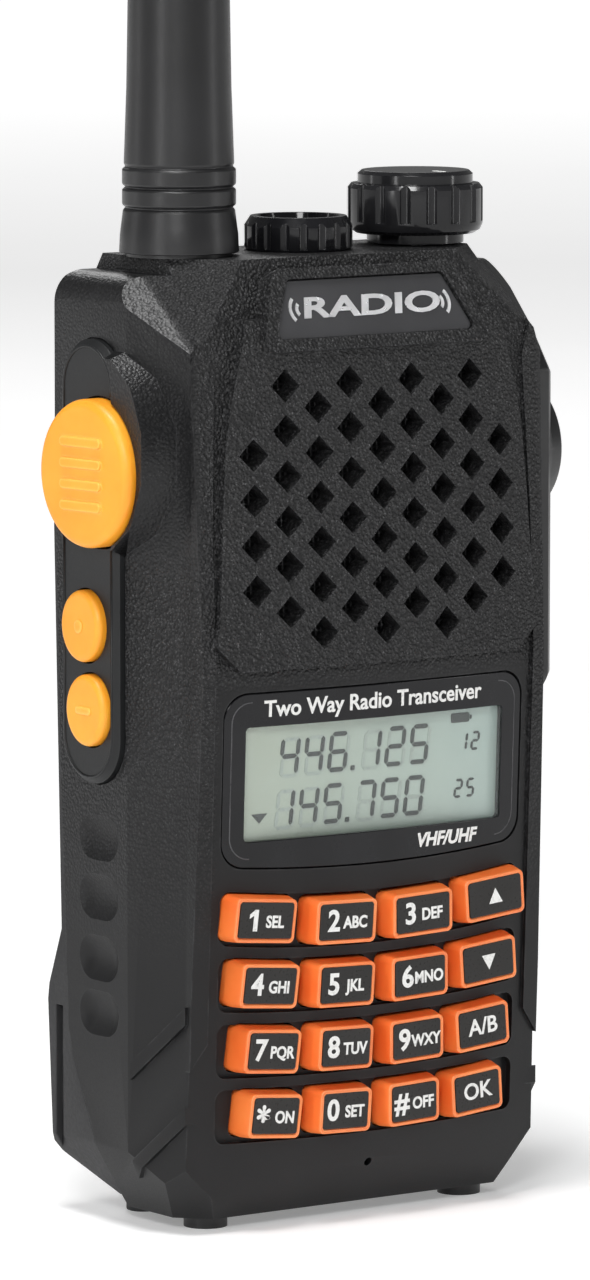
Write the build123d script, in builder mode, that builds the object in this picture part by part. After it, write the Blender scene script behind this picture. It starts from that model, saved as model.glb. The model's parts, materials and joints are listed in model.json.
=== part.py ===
from build123d import *
from math import cos, radians, sin
import os

# Hand-held two way radio, in millimetres.
# +X is the radio's right as seen from its front, the front faces -Y and +Z is up.
# The origin is on the ground plane, below the line of antenna, torch and volume knob.

os.makedirs("parts", exist_ok=True)

# ---- body envelope ----
body_bottom = 1.5
deck_height = 110.0
body_half_width = 27.0
ridge_half_width = 23.7
ridge_y = -14.5
side_start_y = -4.5
wall = 2.0
deck_wall = 2.6
crown_radius = 170.0
plateau_half_width = 21.2
shoulder_height = 108.2
shoulder_radius = 3.6
chin_y = -11.1
lower_front_y = -13.6
lower_lean = -0.042
upper_front_y = -19.23
upper_lean = 0.0458
panel_proud = 1.1

# ---- controls on the deck ----
control_spacing = 16.6
antenna_radius = 6.8
antenna_tip_height = 252.0
knob_radius = 7.8
torch_radius = 6.2

# ---- speaker grille ----
grille_pitch_x = 4.31
grille_pitch_z = 5.08
grille_top = 96.1
diamond_size = 3.8
speaker_height = 81.0
speaker_radius = 17.0

# ---- display ----
display_half_width = 21.0
display_bottom = 41.0
display_top = 61.8
window_half_width = 18.0
window_bottom = 44.8
window_top = 57.8
bezel_depth = 1.0

# ---- keypad ----
key_rows = (35.0, 27.7, 20.4, 13.1)
key_outer = (16.15, 15.4, 14.8, 14.25)
key_inner = (5.4, 5.2, 5.0, 4.85)
key_widths = (9.2, 8.8, 8.4, 8.0)
key_smile = (1.0, 0.75, 0.5, 0.3)
key_names = (
    ("key_1", "key_2", "key_3", "key_up"),
    ("key_4", "key_5", "key_6", "key_down"),
    ("key_7", "key_8", "key_9", "key_mode"),
    ("key_star", "key_0", "key_hash", "key_menu"),
)
key_height = 5.4
key_top_inset = (0.9, 0.4)
key_proud = 1.9
legend_rim = 0.4
legend_seat_depth = 0.25
channel_depth = 0.9
key_clearance = 0.2

# ---- side controls ----
ptt_centre = (-31.0, -1.35, 86.1)
ptt_half_width = 7.7
ptt_half_height = 8.4
ptt_thickness = 3.2
ptt_travel = 1.0
side_key_places = (("side_key_upper", 1.8, 68.5), ("side_key_lower", 0.9, 59.0))
side_key_half_width = 3.8
side_key_half_height = 4.1
side_key_face_x = -29.3
side_stem_y = -0.6
trim_centre_y = 1.5
trim_half_width = 5.5
trim_bottom = 50.5
trim_top = 101.0
trim_face_x = -28.2
trim_seat_x = -26.4
pod_centre = (-1.8, 88.3)
grip_heights = (44.3, 37.5, 30.5, 24.2)
grip_radius = 4.2
grip_depth = 0.9
grip_length = 2.6
corner_band_proud = 0.45

# ---- inside ----
board_front_y = -7.8
board_thickness = 1.4
chassis_front_y = -0.6
chassis_back_y = 1.0
case_screw_places = ((-20.5, 6.8), (20.5, 6.8), (-22.0, 41.0), (22.0, 41.0))
inner_half_width = 24.8

# ---- battery ----
battery_front_y = 2.4
battery_top = 84.6
battery_half_width = 23.5
battery_slide = 8.0
lug_heights = (20.0, 36.0, 52.0, 68.0)
lug_length = 6.0
lug_y = 5.2

# ---- accessory sockets ----
jack_y = -3.8
jack_centre_z = 86.0
cover_bead_radius = 0.85
jack_spacing = 11.9
cover_face_x = 29.3
cover_hinge = (28.2, 8.0)

# ---- belt clip ----
clip_pin_y = 14.6
clip_pin_z = 96.0
clip_half_width = 8.0
bracket_back_y = 11.0
clip_screw_x = 6.0
clip_screw_z = 101.6

front_face = Plane(origin=(0, lower_front_y, 0), x_dir=(1, 0, 0), z_dir=(0, -1, lower_lean))
ptt_plane = Plane(origin=ptt_centre, x_dir=(0.1034, -0.9947, 0), z_dir=(-0.9947, -0.1034, 0))


# a point and the outward direction of each oblique facet at the front right corner
corner_facets = (
    ((21.2, -3.8, 110.0), (0.528, -0.539, 0.655)),
    ((23.9, -13.8, 8.6), (0.62, -0.55, -0.56)),
)


def crown_drop(x):
    """How far a crowned face lies behind its centre line at the distance x from it."""
    return x * x / (2 * crown_radius)


def crowned_prism(front_y, lean, inset):
    """A long block whose crowned front leans with height, moved back by inset."""
    reach = 34.0
    y = front_y + inset
    with BuildPart() as prism:
        with BuildSketch(Plane.XY):
            with BuildLine():
                ThreePointArc((-reach, y + crown_drop(reach)), (0, y), (reach, y + crown_drop(reach)))
                Polyline((reach, y + crown_drop(reach)), (reach, 40), (-reach, 40))
                Line((-reach, 40), (-reach, y + crown_drop(reach)))
            make_face()
        extrude(amount=130, dir=(0, lean, 1))
    return prism.part


def body_envelope(inset, rear_open):
    """The radio's outer body, or the same shape with every face moved in by inset."""
    bottom = body_bottom + inset
    top = deck_height - (deck_wall if inset > 0 else inset)
    half = body_half_width - inset
    facet_run = (side_start_y + 19.0) * (body_half_width - ridge_half_width) / (side_start_y - ridge_y)
    rear = 40.0
    with BuildPart() as envelope:
        with BuildSketch(Plane.XY.offset(bottom)):
            with BuildLine():
                Polyline(
                    (half, rear),
                    (half, side_start_y),
                    (half - facet_run, -19.0),
                    (facet_run - half, -19.0),
                    (-half, side_start_y),
                    (-half, rear),
                    close=True,
                )
            make_face()
        extrude(amount=top - bottom)
        add(crowned_prism(lower_front_y, lower_lean, inset), mode=Mode.INTERSECT)
        add(crowned_prism(upper_front_y, upper_lean, inset), mode=Mode.INTERSECT)
        # front silhouette: cut bottom corners, rounded shoulders and a stepped deck
        shoulder_x = body_half_width - inset
        shoulder_z = shoulder_height - inset
        arc_reach = shoulder_radius * (1 - 0.5**0.5)
        with BuildSketch(Plane.XZ):
            with BuildLine():
                Polyline((-23.0 + inset, bottom), (23.0 - inset, bottom), (shoulder_x, 9.0))
                Line((shoulder_x, 9.0), (shoulder_x, shoulder_z - shoulder_radius))
                ThreePointArc(
                    (shoulder_x, shoulder_z - shoulder_radius),
                    (shoulder_x - arc_reach, shoulder_z - arc_reach),
                    (shoulder_x - shoulder_radius, shoulder_z),
                )
                Polyline(
                    (shoulder_x - shoulder_radius, shoulder_z),
                    (plateau_half_width + 0.3 - inset, shoulder_z),
                    (plateau_half_width - inset, 111.0),
                    (inset - plateau_half_width, 111.0),
                    (inset - plateau_half_width - 0.3, shoulder_z),
                    (shoulder_radius - shoulder_x, shoulder_z),
                )
                ThreePointArc(
                    (shoulder_radius - shoulder_x, shoulder_z),
                    (arc_reach - shoulder_x, shoulder_z - arc_reach),
                    (-shoulder_x, shoulder_z - shoulder_radius),
                )
                Line((-shoulder_x, shoulder_z - shoulder_radius), (-shoulder_x, 9.0))
                Line((-shoulder_x, 9.0), (-23.0 + inset, bottom))
            make_face()
        extrude(amount=60, both=True, mode=Mode.INTERSECT)
        # side silhouette: bevelled chin, sloped brow and the parting line of the battery
        with BuildSketch(Plane.YZ):
            with BuildLine():
                if rear_open:
                    Polyline(
                        (inset + chin_y, 0),
                        (inset + chin_y, 1.5),
                        (inset - 20.0, 19.0),
                        (inset - 20.0, 83.2),
                        (inset - 9.9, 110.0),
                        (40, 110),
                        (40, 0),
                        close=True,
                    )
                else:
                    Polyline(
                        (chin_y, 1.5),
                        (-20.0, 19.0),
                        (-20.0, 83.2),
                        (-9.9, 110.0),
                        (8.4, 110.0),
                        (9.8, 107.5),
                        (9.8, 86.0),
                        (9.4, 71.5),
                        (8.8, 50.0),
                        (7.9, 32.0),
                        (7.35, 22.0),
                        (6.6, 18.5),
                        (2.1, 9.6),
                        (1.7, 4.0),
                        (1.3, 1.5),
                        close=True,
                    )
            make_face()
        extrude(amount=60, both=True, mode=Mode.INTERSECT)
        # oblique facets on the upper and lower front corners
        for side in (-1, 1):
            for origin, direction in corner_facets:
                facet_plane = Plane(
                    origin=(side * origin[0], origin[1], origin[2]),
                    z_dir=(side * direction[0], direction[1], direction[2]),
                )
                with BuildSketch(facet_plane.offset(-inset)):
                    Rectangle(60, 60)
                extrude(amount=25, mode=Mode.SUBTRACT)
    return envelope.part


def grille_places():
    """Centres of the diamond holes, in a staggered pattern that is shorter at its sides."""
    places = []
    for column in range(-4, 5):
        offset = 0.0 if column % 2 else 0.5
        rows = range(6)
        if abs(column) == 4:
            offset = 1.5
            rows = range(4)
        for row in rows:
            places.append((column * grille_pitch_x, grille_top - grille_pitch_z * (row + offset)))
    return places


def key_place(row, column):
    """Centre and tilt of a key on the front face."""
    side = 1 if column > 1 else -1
    outer = column in (0, 3)
    x = side * (key_outer[row] if outer else key_inner[row])
    z = key_rows[row] + (key_smile[row] if outer else 0.1)
    tilt = side * (5.5 if outer else 2.0)
    return x, z, tilt


# side planes that look outwards, with x_dir along -Y on the left side and +Y on the right
left_side = Plane(origin=(0, 0, 0), x_dir=(0, -1, 0), z_dir=(-1, 0, 0))
right_side = Plane(origin=(0, 0, 0), x_dir=(0, 1, 0), z_dir=(1, 0, 0))


def finish(builder, name):
    """Label a finished piece and write it."""
    builder.part.label = name
    export_step(builder.part, f"parts/{name}.step")


lower_skin = crowned_prism(lower_front_y, lower_lean, 0.05)
lower_recess = crowned_prism(lower_front_y, lower_lean, bezel_depth)
channel_floor = crowned_prism(lower_front_y, lower_lean, channel_depth)
panel_skin = crowned_prism(upper_front_y, upper_lean, -panel_proud)
outer_body = body_envelope(0, False)
inner_body = body_envelope(wall, True)

panel_outline = (
    (17.6, 103.5),
    (18.2, 101.0),
    (20.0, 94.0),
    (20.8, 89.0),
    (21.3, 82.0),
    (22.0, 70.0),
    (22.6, 67.3),
    (19.6, 64.3),
)
brow_plane = Plane(origin=(0, -12.65, 104.1), x_dir=(1, 0, 0), z_dir=(0, -13.1, 4.9))


def display_prism(clearance):
    """The outline of the display surround, a rounded rectangle whose lower edge dips at its middle."""
    half = display_half_width - clearance
    low = display_bottom + clearance
    with BuildPart() as prism:
        with BuildSketch(Plane.XZ.offset(8)):
            with BuildLine():
                ThreePointArc((-half, low + 1.0), (0, low), (half, low + 1.0))
                Polyline((half, low + 1.0), (half, display_top - clearance))
                Line((half, display_top - clearance), (-half, display_top - clearance))
                Line((-half, display_top - clearance), (-half, low + 1.0))
            make_face()
            fillet(vertices(), 3.0)
        extrude(amount=12)
    return prism.part


def key_channel(row):
    """The shallow smile-shaped trough that one row of keys stands in."""
    z = key_rows[row]
    half = 20.9
    low = z - 3.1
    high = z + 3.1
    rise = key_smile[row] * 1.3
    with BuildPart() as channel:
        with BuildSketch(Plane.XZ.offset(8)):
            with BuildLine():
                ThreePointArc((-half, low + rise), (0, low), (half, low + rise))
                Line((half, low + rise), (half, high + rise))
                ThreePointArc((half, high + rise), (0, high), (-half, high + rise))
                Line((-half, high + rise), (-half, low + rise))
            make_face()
            fillet(vertices(), 1.2)
        extrude(amount=12)
    return channel.part


def grip_ridge(low_z):
    """A diagonal bar over both lower corners, to be trimmed to the body's shape."""
    with BuildPart() as ridge:
        with BuildSketch(Plane.YZ):
            with BuildLine():
                Polyline((-5.2, low_z), (-12.6, low_z + 7.0), (-12.6, low_z + 9.0), (-5.2, low_z + 2.0))
                Line((-5.2, low_z + 2.0), (-5.2, low_z))
            make_face()
        extrude(amount=40, both=True)
    return ridge.part


def pod_outline(half_width, half_height):
    """Twelve corners of the pod round the push to talk button, on a side plane."""
    with BuildLine() as outline:
        corners = []
        for step in range(12):
            angle = radians(15 + 30 * step)
            corners.append((half_width * cos(angle), half_height * sin(angle)))
        Polyline(*corners, close=True)
    return outline.line


def corner_band():
    """A raised band that wraps each upright front corner, pointed at its top."""
    with BuildPart() as band:
        with BuildSketch(Plane.XZ.offset(8)):
            with BuildLine():
                Polyline((22.3, 22.0), (24.5, 19.0), (24.5, 98.0), (23.2, 102.0))
                Polyline((23.2, 102.0), (21.6, 98.0), (22.3, 80.0), (22.3, 22.0))
            make_face()
            mirror(about=Plane.YZ)
        extrude(amount=14)
        add(body_envelope(-corner_band_proud, True), mode=Mode.INTERSECT)
    return band.part


ridge_skin = body_envelope(-0.5, True) - Box(44, 80, 300)
grip_ridges = [grip_ridge(low_z) & ridge_skin for low_z in (6.0, 17.4)]
corner_bands = corner_band()
display_recess = display_prism(0) - lower_recess
key_channels = [key_channel(row) - channel_floor for row in range(4)]

# ---- front casing ----
with BuildPart() as front_casing:
    add(outer_body)
    # raised speaker panel
    with BuildSketch(Plane.XZ.offset(10)):
        with BuildLine():
            Polyline(*panel_outline, *((-x, z) for x, z in reversed(panel_outline)), close=True)
        make_face()
    extrude(amount=9.5)
    add(panel_skin, mode=Mode.INTERSECT)
    with BuildSketch(Plane.YZ):
        with BuildLine():
            Polyline((chin_y, 1.0), (-20.5, 19.5), (-20.5, 87.0), (-11.5, 110.0))
            Polyline((-11.5, 110.0), (20, 110), (20, 1.0), (chin_y, 1.0))
        make_face()
    extrude(amount=60, both=True, mode=Mode.INTERSECT)
    # badge frame on the sloped brow
    with BuildSketch(brow_plane.offset(-2)):
        with BuildLine():
            Polyline((-16.6, -5.4), (16.6, -5.4), (12.9, 5.0), (-12.9, 5.0), close=True)
        make_face()
        fillet(vertices(), 1.8)
    extrude(amount=3.6, taper=6)
    # faceted pod round the push to talk button
    for pod_x, half_width, half_height in ((-21.0, 10.6, 14.2), (-28.9, 8.6, 11.2)):
        with BuildSketch(Plane(origin=(pod_x, *pod_centre), x_dir=(0, -1, 0), z_dir=(-1, 0, 0))):
            add(pod_outline(half_width, half_height))
            make_face()
    loft()
    add(grip_ridges)
    add(corner_bands)
    add(inner_body, mode=Mode.SUBTRACT)
    add(display_recess, mode=Mode.SUBTRACT)
    for channel in key_channels:
        add(channel, mode=Mode.SUBTRACT)
    # badge recess
    with BuildSketch(brow_plane.offset(0.8)):
        with BuildLine():
            Polyline((-14.05, -3.6), (14.05, -3.6), (10.9, 3.4), (-10.9, 3.4), close=True)
        make_face()
        fillet(vertices(), 0.8)
    extrude(amount=2, mode=Mode.SUBTRACT)
    # speaker grille
    with BuildSketch(Plane.XZ.offset(12.0)):
        with Locations(*grille_places()):
            Rectangle(diamond_size / 2**0.5, diamond_size / 2**0.5, rotation=45)
    extrude(amount=8, mode=Mode.SUBTRACT)
    # display opening
    with BuildSketch(Plane.XZ.offset(8)):
        with Locations((0, (window_bottom + window_top) / 2)):
            RectangleRounded(2 * window_half_width + 1.6, window_top - window_bottom + 1.6, 0.8)
    extrude(amount=12, mode=Mode.SUBTRACT)
    # key openings
    for row in range(4):
        for column in range(4):
            x, z, tilt = key_place(row, column)
            with BuildSketch(front_face.offset(-8)):
                with Locations(Location((x, z), tilt)):
                    RectangleRounded(
                        key_widths[row] + 2 * key_clearance,
                        key_height + 2 * key_clearance,
                        0.8 + key_clearance,
                    )
            extrude(amount=12, mode=Mode.SUBTRACT)
    # microphone hole
    with BuildSketch(Plane.XZ.offset(8)):
        with Locations((0, 6.4)):
            Circle(0.5)
    extrude(amount=10, mode=Mode.SUBTRACT)
    # openings in the deck for antenna socket, torch and volume control
    with BuildSketch(Plane.XY.offset(deck_height - 6)):
        with Locations((-control_spacing, 0)):
            Circle(3.4)
        Circle(4.5)
        with Locations((control_spacing, 0)):
            Circle(3.6)
    extrude(amount=10, mode=Mode.SUBTRACT)
    # seat for the side plate
    with BuildSketch(left_side.offset(-trim_seat_x)):
        with Locations((-trim_centre_y, (trim_bottom + trim_top) / 2)):
            SlotOverall(trim_top - trim_bottom + 0.3, 2 * trim_half_width + 0.3, rotation=90)
    extrude(amount=8, mode=Mode.SUBTRACT)
    # push to talk pocket and the slots behind the side controls
    with BuildSketch(ptt_plane.offset(-ptt_thickness - ptt_travel - 0.2)):
        Ellipse(ptt_half_width + 0.25, ptt_half_height + 0.25)
    extrude(amount=8, mode=Mode.SUBTRACT)
    with BuildSketch(left_side.offset(23)):
        with Locations((-side_stem_y, ptt_centre[2])):
            Rectangle(4.0, 6.0)
        for _, _, height in side_key_places:
            with Locations((-side_stem_y, height)):
                Rectangle(2.8, 3.8)
    extrude(amount=6, mode=Mode.SUBTRACT)
    # scooped grip hollows low on both sides
    for height in grip_heights:
        for side in (-1, 1):
            scoop_x = side * (body_half_width + grip_radius - grip_depth)
            with Locations((scoop_x, 1.2, height)):
                Cylinder(grip_radius, grip_length, rotation=(90, 0, 0), mode=Mode.SUBTRACT)
            for end in (-0.5, 0.5):
                with Locations((scoop_x, 1.2 + end * grip_length, height)):
                    Sphere(grip_radius, mode=Mode.SUBTRACT)
    # accessory socket openings
    with BuildSketch(right_side.offset(22)):
        for step in (-0.5, 0.5):
            with Locations((jack_y, jack_centre_z + step * jack_spacing)):
                Circle(3.4)
    extrude(amount=8, mode=Mode.SUBTRACT)
    # screw bosses behind the front wall
    with BuildSketch(Plane.XZ.offset(0.7)):
        with Locations(*case_screw_places):
            Circle(2.0)
            Circle(0.9, mode=Mode.SUBTRACT)
    extrude(amount=11.0)
finish(front_casing, "front_casing")

# ---- badge plate ----
with BuildPart() as emblem_plate:
    with BuildSketch(brow_plane.offset(0.8)):
        with BuildLine():
            Polyline((-14.05, -3.6), (14.05, -3.6), (10.9, 3.4), (-10.9, 3.4), close=True)
        make_face()
        fillet(vertices(), 0.8)
        offset(amount=-0.1)
    extrude(amount=0.4)
finish(emblem_plate, "emblem_plate")

# ---- speaker and its mesh ----
with BuildPart() as speaker_mesh:
    with BuildSketch(Plane.XZ.offset(8)):
        with Locations((0, speaker_height)):
            RectangleRounded(40.0, 31.0, 4.0)
    extrude(amount=8)
    add(crowned_prism(upper_front_y, upper_lean, wall + 0.05), mode=Mode.INTERSECT)
    add(crowned_prism(upper_front_y, upper_lean, wall + 0.3), mode=Mode.SUBTRACT)
finish(speaker_mesh, "speaker_mesh")

with BuildPart() as speaker:
    with BuildSketch(Plane.XZ.offset(9.1)):
        with Locations((0, speaker_height)):
            Circle(speaker_radius)
    extrude(amount=2.3)
    with BuildSketch(Plane.XZ.offset(7.9)):
        with Locations((0, speaker_height)):
            Circle(8.0)
    extrude(amount=1.2)
    with BuildSketch(Plane.XZ.offset(10.4)):
        with Locations((0, speaker_height)):
            Circle(14.5)
            Circle(5.0, mode=Mode.SUBTRACT)
    extrude(amount=1.2, mode=Mode.SUBTRACT)
finish(speaker, "speaker")

with BuildPart() as microphone:
    with BuildSketch(Plane.XZ.offset(8.2)):
        with Locations((0, 6.4)):
            Circle(1.9)
    extrude(amount=1.5)
finish(microphone, "microphone")

# ---- display ----
bezel_blank = (display_prism(0.15) & lower_skin) - lower_recess
with BuildPart() as display_bezel:
    add(bezel_blank)
    with BuildSketch(Plane.XZ.offset(8)):
        with Locations((0, (window_bottom + window_top) / 2)):
            RectangleRounded(2 * window_half_width, window_top - window_bottom, 0.5)
    extrude(amount=12, mode=Mode.SUBTRACT)
finish(display_bezel, "display_bezel")

with BuildPart() as display_window:
    with BuildSketch(front_face.offset(-1.9)):
        with Locations((0, (window_bottom + window_top) / 2)):
            RectangleRounded(2 * window_half_width - 0.2, window_top - window_bottom - 0.2, 0.4)
    extrude(amount=0.7)
finish(display_window, "display_window")

with BuildPart() as lcd_panel:
    with BuildSketch(front_face.offset(-4.5)):
        with Locations((0, (window_bottom + window_top) / 2)):
            Rectangle(2 * window_half_width + 1.0, window_top - window_bottom + 1.0)
    extrude(amount=2.4)
finish(lcd_panel, "lcd_panel")

# ---- keypad ----
for row in range(4):
    for column in range(4):
        x, z, tilt = key_place(row, column)
        width = key_widths[row]
        top_width = width - key_top_inset[0]
        top_height = key_height - key_top_inset[1]
        drop = crown_drop(x)
        flange_drop = crown_drop(abs(x) + width / 2 + 0.5)
        with BuildPart() as key:
            with BuildSketch(front_face.offset(-wall - 0.2 - flange_drop)):
                with Locations(Location((x, z), tilt)):
                    RectangleRounded(width, key_height, 0.8)
            extrude(amount=wall + 0.2 + flange_drop - drop)
            # drafted cap
            with BuildSketch(front_face.offset(-drop)):
                with Locations(Location((x, z), tilt)):
                    RectangleRounded(width, key_height, 0.8)
            with BuildSketch(front_face.offset(key_proud - drop)):
                with Locations(Location((x, z), tilt)):
                    RectangleRounded(top_width, top_height, 0.7)
            loft()
            # retaining flange and plunger behind the casing wall
            with BuildSketch(front_face.offset(-wall - 0.8 - flange_drop)):
                with Locations(Location((x, z), tilt)):
                    RectangleRounded(width + 0.7, key_height + 1.0, 1.0)
            extrude(amount=0.6)
            # seat of the legend plate
            seat_size = (top_width - 2 * legend_rim, top_height - 2 * legend_rim)
            with BuildSketch(front_face.offset(key_proud - drop - legend_seat_depth)):
                with Locations(Location((x, z), tilt)):
                    RectangleRounded(*seat_size, 0.4)
            extrude(amount=1.0, mode=Mode.SUBTRACT)
        finish(key, key_names[row][column])

with BuildPart() as keypad_mat:
    with BuildSketch(front_face.offset(-5.9)):
        with Locations((0, 24.2)):
            RectangleRounded(43.0, 29.2, 2.0)
    extrude(amount=0.75)
finish(keypad_mat, "keypad_mat")

with BuildPart() as snap_dome_sheet:
    with BuildSketch(Plane.XZ.offset(-board_front_y)):
        with Locations((0, 23.9)):
            RectangleRounded(41.0, 28.0, 1.0)
    extrude(amount=0.15)
    with BuildSketch(Plane.XZ.offset(-board_front_y + 0.15)):
        for row in range(4):
            for column in range(4):
                with Locations(key_place(row, column)[:2]):
                    Circle(1.6)
    extrude(amount=0.15, taper=30)
finish(snap_dome_sheet, "snap_dome_sheet")

# ---- main board ----
with BuildPart() as main_board:
    with BuildSketch(Plane.XZ.offset(-board_front_y - board_thickness)):
        with Locations((0, 54.6)):
            Rectangle(39.0, 90.8)
    extrude(amount=board_thickness)
    # chips behind the board, right of the shield
    with BuildSketch(Plane.XZ.offset(-board_front_y - board_thickness)):
        with Locations((14.0, 22.0), (14.0, 40.0), (13.0, 60.0)):
            Rectangle(8.0, 8.0)
    extrude(amount=-1.6)
finish(main_board, "main_board")

with BuildPart() as rf_shield:
    with BuildSketch(Plane.XZ.offset(2.6)):
        with Locations((-5.0, 46.0)):
            RectangleRounded(26.0, 64.0, 1.0)
    extrude(amount=3.8)
    with BuildSketch(Plane.XZ.offset(2.9)):
        with Locations((-5.0, 46.0)):
            Rectangle(25.4, 63.4)
    extrude(amount=4.0, mode=Mode.SUBTRACT)
finish(rf_shield, "rf_shield")

# ---- left side controls ----
with BuildPart() as side_trim:
    with BuildSketch(left_side.offset(-trim_seat_x)):
        with Locations((-trim_centre_y, (trim_bottom + trim_top) / 2)):
            SlotOverall(trim_top - trim_bottom, 2 * trim_half_width, rotation=90)
    extrude(amount=trim_seat_x - trim_face_x)
    chamfer(side_trim.faces().sort_by(Axis.X)[0].edges(), 0.6)
    with BuildSketch(left_side.offset(20)):
        for _, centre_y, height in side_key_places:
            with Locations((-centre_y, height)):
                Ellipse(side_key_half_width + 0.2, side_key_half_height + 0.2)
    extrude(amount=12, mode=Mode.SUBTRACT)
    with BuildSketch(ptt_plane.offset(-12)):
        Ellipse(ptt_half_width + 0.25, ptt_half_height + 0.25)
    extrude(amount=20, mode=Mode.SUBTRACT)
finish(side_trim, "side_trim")

with BuildPart() as ptt_button:
    with BuildSketch(ptt_plane.offset(-ptt_thickness)):
        Ellipse(ptt_half_width, ptt_half_height)
    extrude(amount=ptt_thickness)
    fillet(ptt_button.faces().sort_by(Axis.X)[0].edges(), 1.1)
    with BuildSketch(ptt_plane.offset(-0.1)):
        for step in (-1.5, -0.5, 0.5, 1.5):
            with Locations((0, step * 2.4)):
                SlotOverall(7.0, 1.1)
    extrude(amount=0.45)
    # plunger that reaches through the casing wall
    with BuildSketch(left_side.offset(24.8)):
        with Locations((-side_stem_y, ptt_centre[2])):
            Rectangle(2.2, 5.0)
    extrude(amount=3.6)
finish(ptt_button, "ptt_button")

for name, centre_y, height in side_key_places:
    with BuildPart() as side_key:
        with BuildSketch(left_side.offset(27.3)):
            with Locations((-centre_y, height)):
                Ellipse(side_key_half_width, side_key_half_height)
        extrude(amount=-side_key_face_x - 27.3)
        fillet(side_key.faces().sort_by(Axis.X)[0].edges(), 0.7)
        with BuildSketch(left_side.offset(24.4)):
            with Locations((-side_stem_y, height)):
                Rectangle(2.2, 3.2)
        extrude(amount=3.2)
    finish(side_key, name)

with BuildPart() as side_switch_board:
    with BuildSketch(left_side.offset(21.4)):
        with Locations((3.4, 74.0)):
            Rectangle(5.4, 44.0)
    extrude(amount=0.8)
    with BuildSketch(left_side.offset(22.2)):
        for height in (ptt_centre[2], *(place[2] for place in side_key_places)):
            with Locations((2.6, height)):
                Rectangle(3.4, 3.4)
    extrude(amount=1.0)
finish(side_switch_board, "side_switch_board")

# ---- right side: accessory sockets under a hinged rubber cover ----
with BuildPart() as jack_cover:
    with BuildSketch(right_side.offset(21)):
        with BuildLine():
            Polyline(
                (-10.2, 95.5),
                (-6.2, 101.0),
                (4.4, 101.0),
                (8.4, 96.5),
                (8.4, 58.0),
                (5.0, 54.0),
                (-5.6, 54.0),
                (-10.2, 60.0),
                close=True,
            )
        make_face()
        fillet(vertices(), 1.6)
    extrude(amount=cover_face_x - 21)
    chamfer(jack_cover.faces().sort_by(Axis.X)[-1].edges(), 1.0)
    with BuildSketch(right_side.offset(cover_face_x - 1)):
        with Locations((-0.9, 86.0)):
            Circle(8.9)
    extrude(amount=3.4, taper=20)
    fillet(jack_cover.faces().sort_by(Axis.X)[-1].edges(), 0.9)
    # round hinge bead along the rear edge
    with BuildSketch(Plane.XY.offset(61.0)):
        with Locations(cover_hinge):
            Circle(cover_bead_radius)
    extrude(amount=32.0)
    add(body_envelope(-0.3, True), mode=Mode.SUBTRACT)
finish(jack_cover, "jack_cover")

with BuildPart() as accessory_jacks:
    with BuildSketch(Plane.XZ.offset(0.9)):
        with Locations((17.6, jack_centre_z)):
            Rectangle(13.2, 20.0)
    extrude(amount=5.2)
    with BuildSketch(right_side.offset(24.2)):
        for step in (-0.5, 0.5):
            with Locations((jack_y, jack_centre_z + step * jack_spacing)):
                Circle(3.1)
    extrude(amount=2.0)
    with BuildSketch(right_side.offset(12.8)):
        with Locations((jack_y, jack_centre_z + jack_spacing / 2)):
            Circle(1.8)
        with Locations((jack_y, jack_centre_z - jack_spacing / 2)):
            Circle(1.3)
    extrude(amount=14.0, mode=Mode.SUBTRACT)
finish(accessory_jacks, "accessory_jacks")

# ---- antenna ----
with BuildPart() as antenna_socket:
    with BuildSketch(Plane.XY.offset(101.8)):
        with Locations((-control_spacing, 0)):
            RegularPolygon(4.8, 6)
    extrude(amount=4.2)
    with BuildSketch(Plane.XY.offset(101.8)):
        with Locations((-control_spacing, 0)):
            Circle(3.15)
    extrude(amount=12.2)
    with BuildSketch(Plane.XY.offset(106.0)):
        with Locations((-control_spacing, 0)):
            Circle(2.1)
    extrude(amount=9.0, mode=Mode.SUBTRACT)
finish(antenna_socket, "antenna_socket")

with BuildPart() as antenna_seal:
    with BuildSketch(Plane.XY.offset(deck_height)):
        with Locations((-control_spacing, 0)):
            Circle(6.0)
            Circle(5.1, mode=Mode.SUBTRACT)
    extrude(amount=0.8)
finish(antenna_seal, "antenna_seal")

with BuildPart() as antenna_connector:
    with BuildSketch(Plane.XY.offset(110.6)):
        with Locations((-control_spacing, 0)):
            Circle(4.6)
            Circle(3.2, mode=Mode.SUBTRACT)
    extrude(amount=3.7)
    with BuildSketch(Plane.XY.offset(114.3)):
        with Locations((-control_spacing, 0)):
            Circle(4.6)
    extrude(amount=7.7)
    with BuildSketch(Plane.XY.offset(107.0)):
        with Locations((-control_spacing, 0)):
            Circle(0.6)
    extrude(amount=8.0)
finish(antenna_connector, "antenna_connector")

antenna_axis_plane = Plane(origin=(-control_spacing, 0, 0), x_dir=(1, 0, 0), z_dir=(0, -1, 0))
with BuildPart() as antenna_sleeve:
    with BuildSketch(antenna_axis_plane):
        with BuildLine():
            Polyline(
                (4.6, 110.4),
                (5.0, 110.4),
                (5.0, 110.9),
                (6.1, 110.9),
                (6.1, 110.4),
                (antenna_radius, 110.4),
                (antenna_radius - 0.1, 112.4),
                (6.35, 115.2),
                (6.05, 115.5),
                (6.45, 115.8),
                (6.45, 117.5),
                (6.05, 117.8),
                (6.45, 118.1),
                (6.45, 119.8),
                (6.05, 120.1),
                (6.25, 120.4),
                (5.95, 129.0),
                (3.9, antenna_tip_height - 6),
                (3.4, antenna_tip_height - 1.2),
                (2.2, antenna_tip_height),
                (0, antenna_tip_height),
                (0, 122.0),
                (4.6, 122.0),
                close=True,
            )
        make_face()
    revolve(axis=Axis((-control_spacing, 0, 0), (0, 0, 1)))
finish(antenna_sleeve, "antenna_sleeve")

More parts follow.
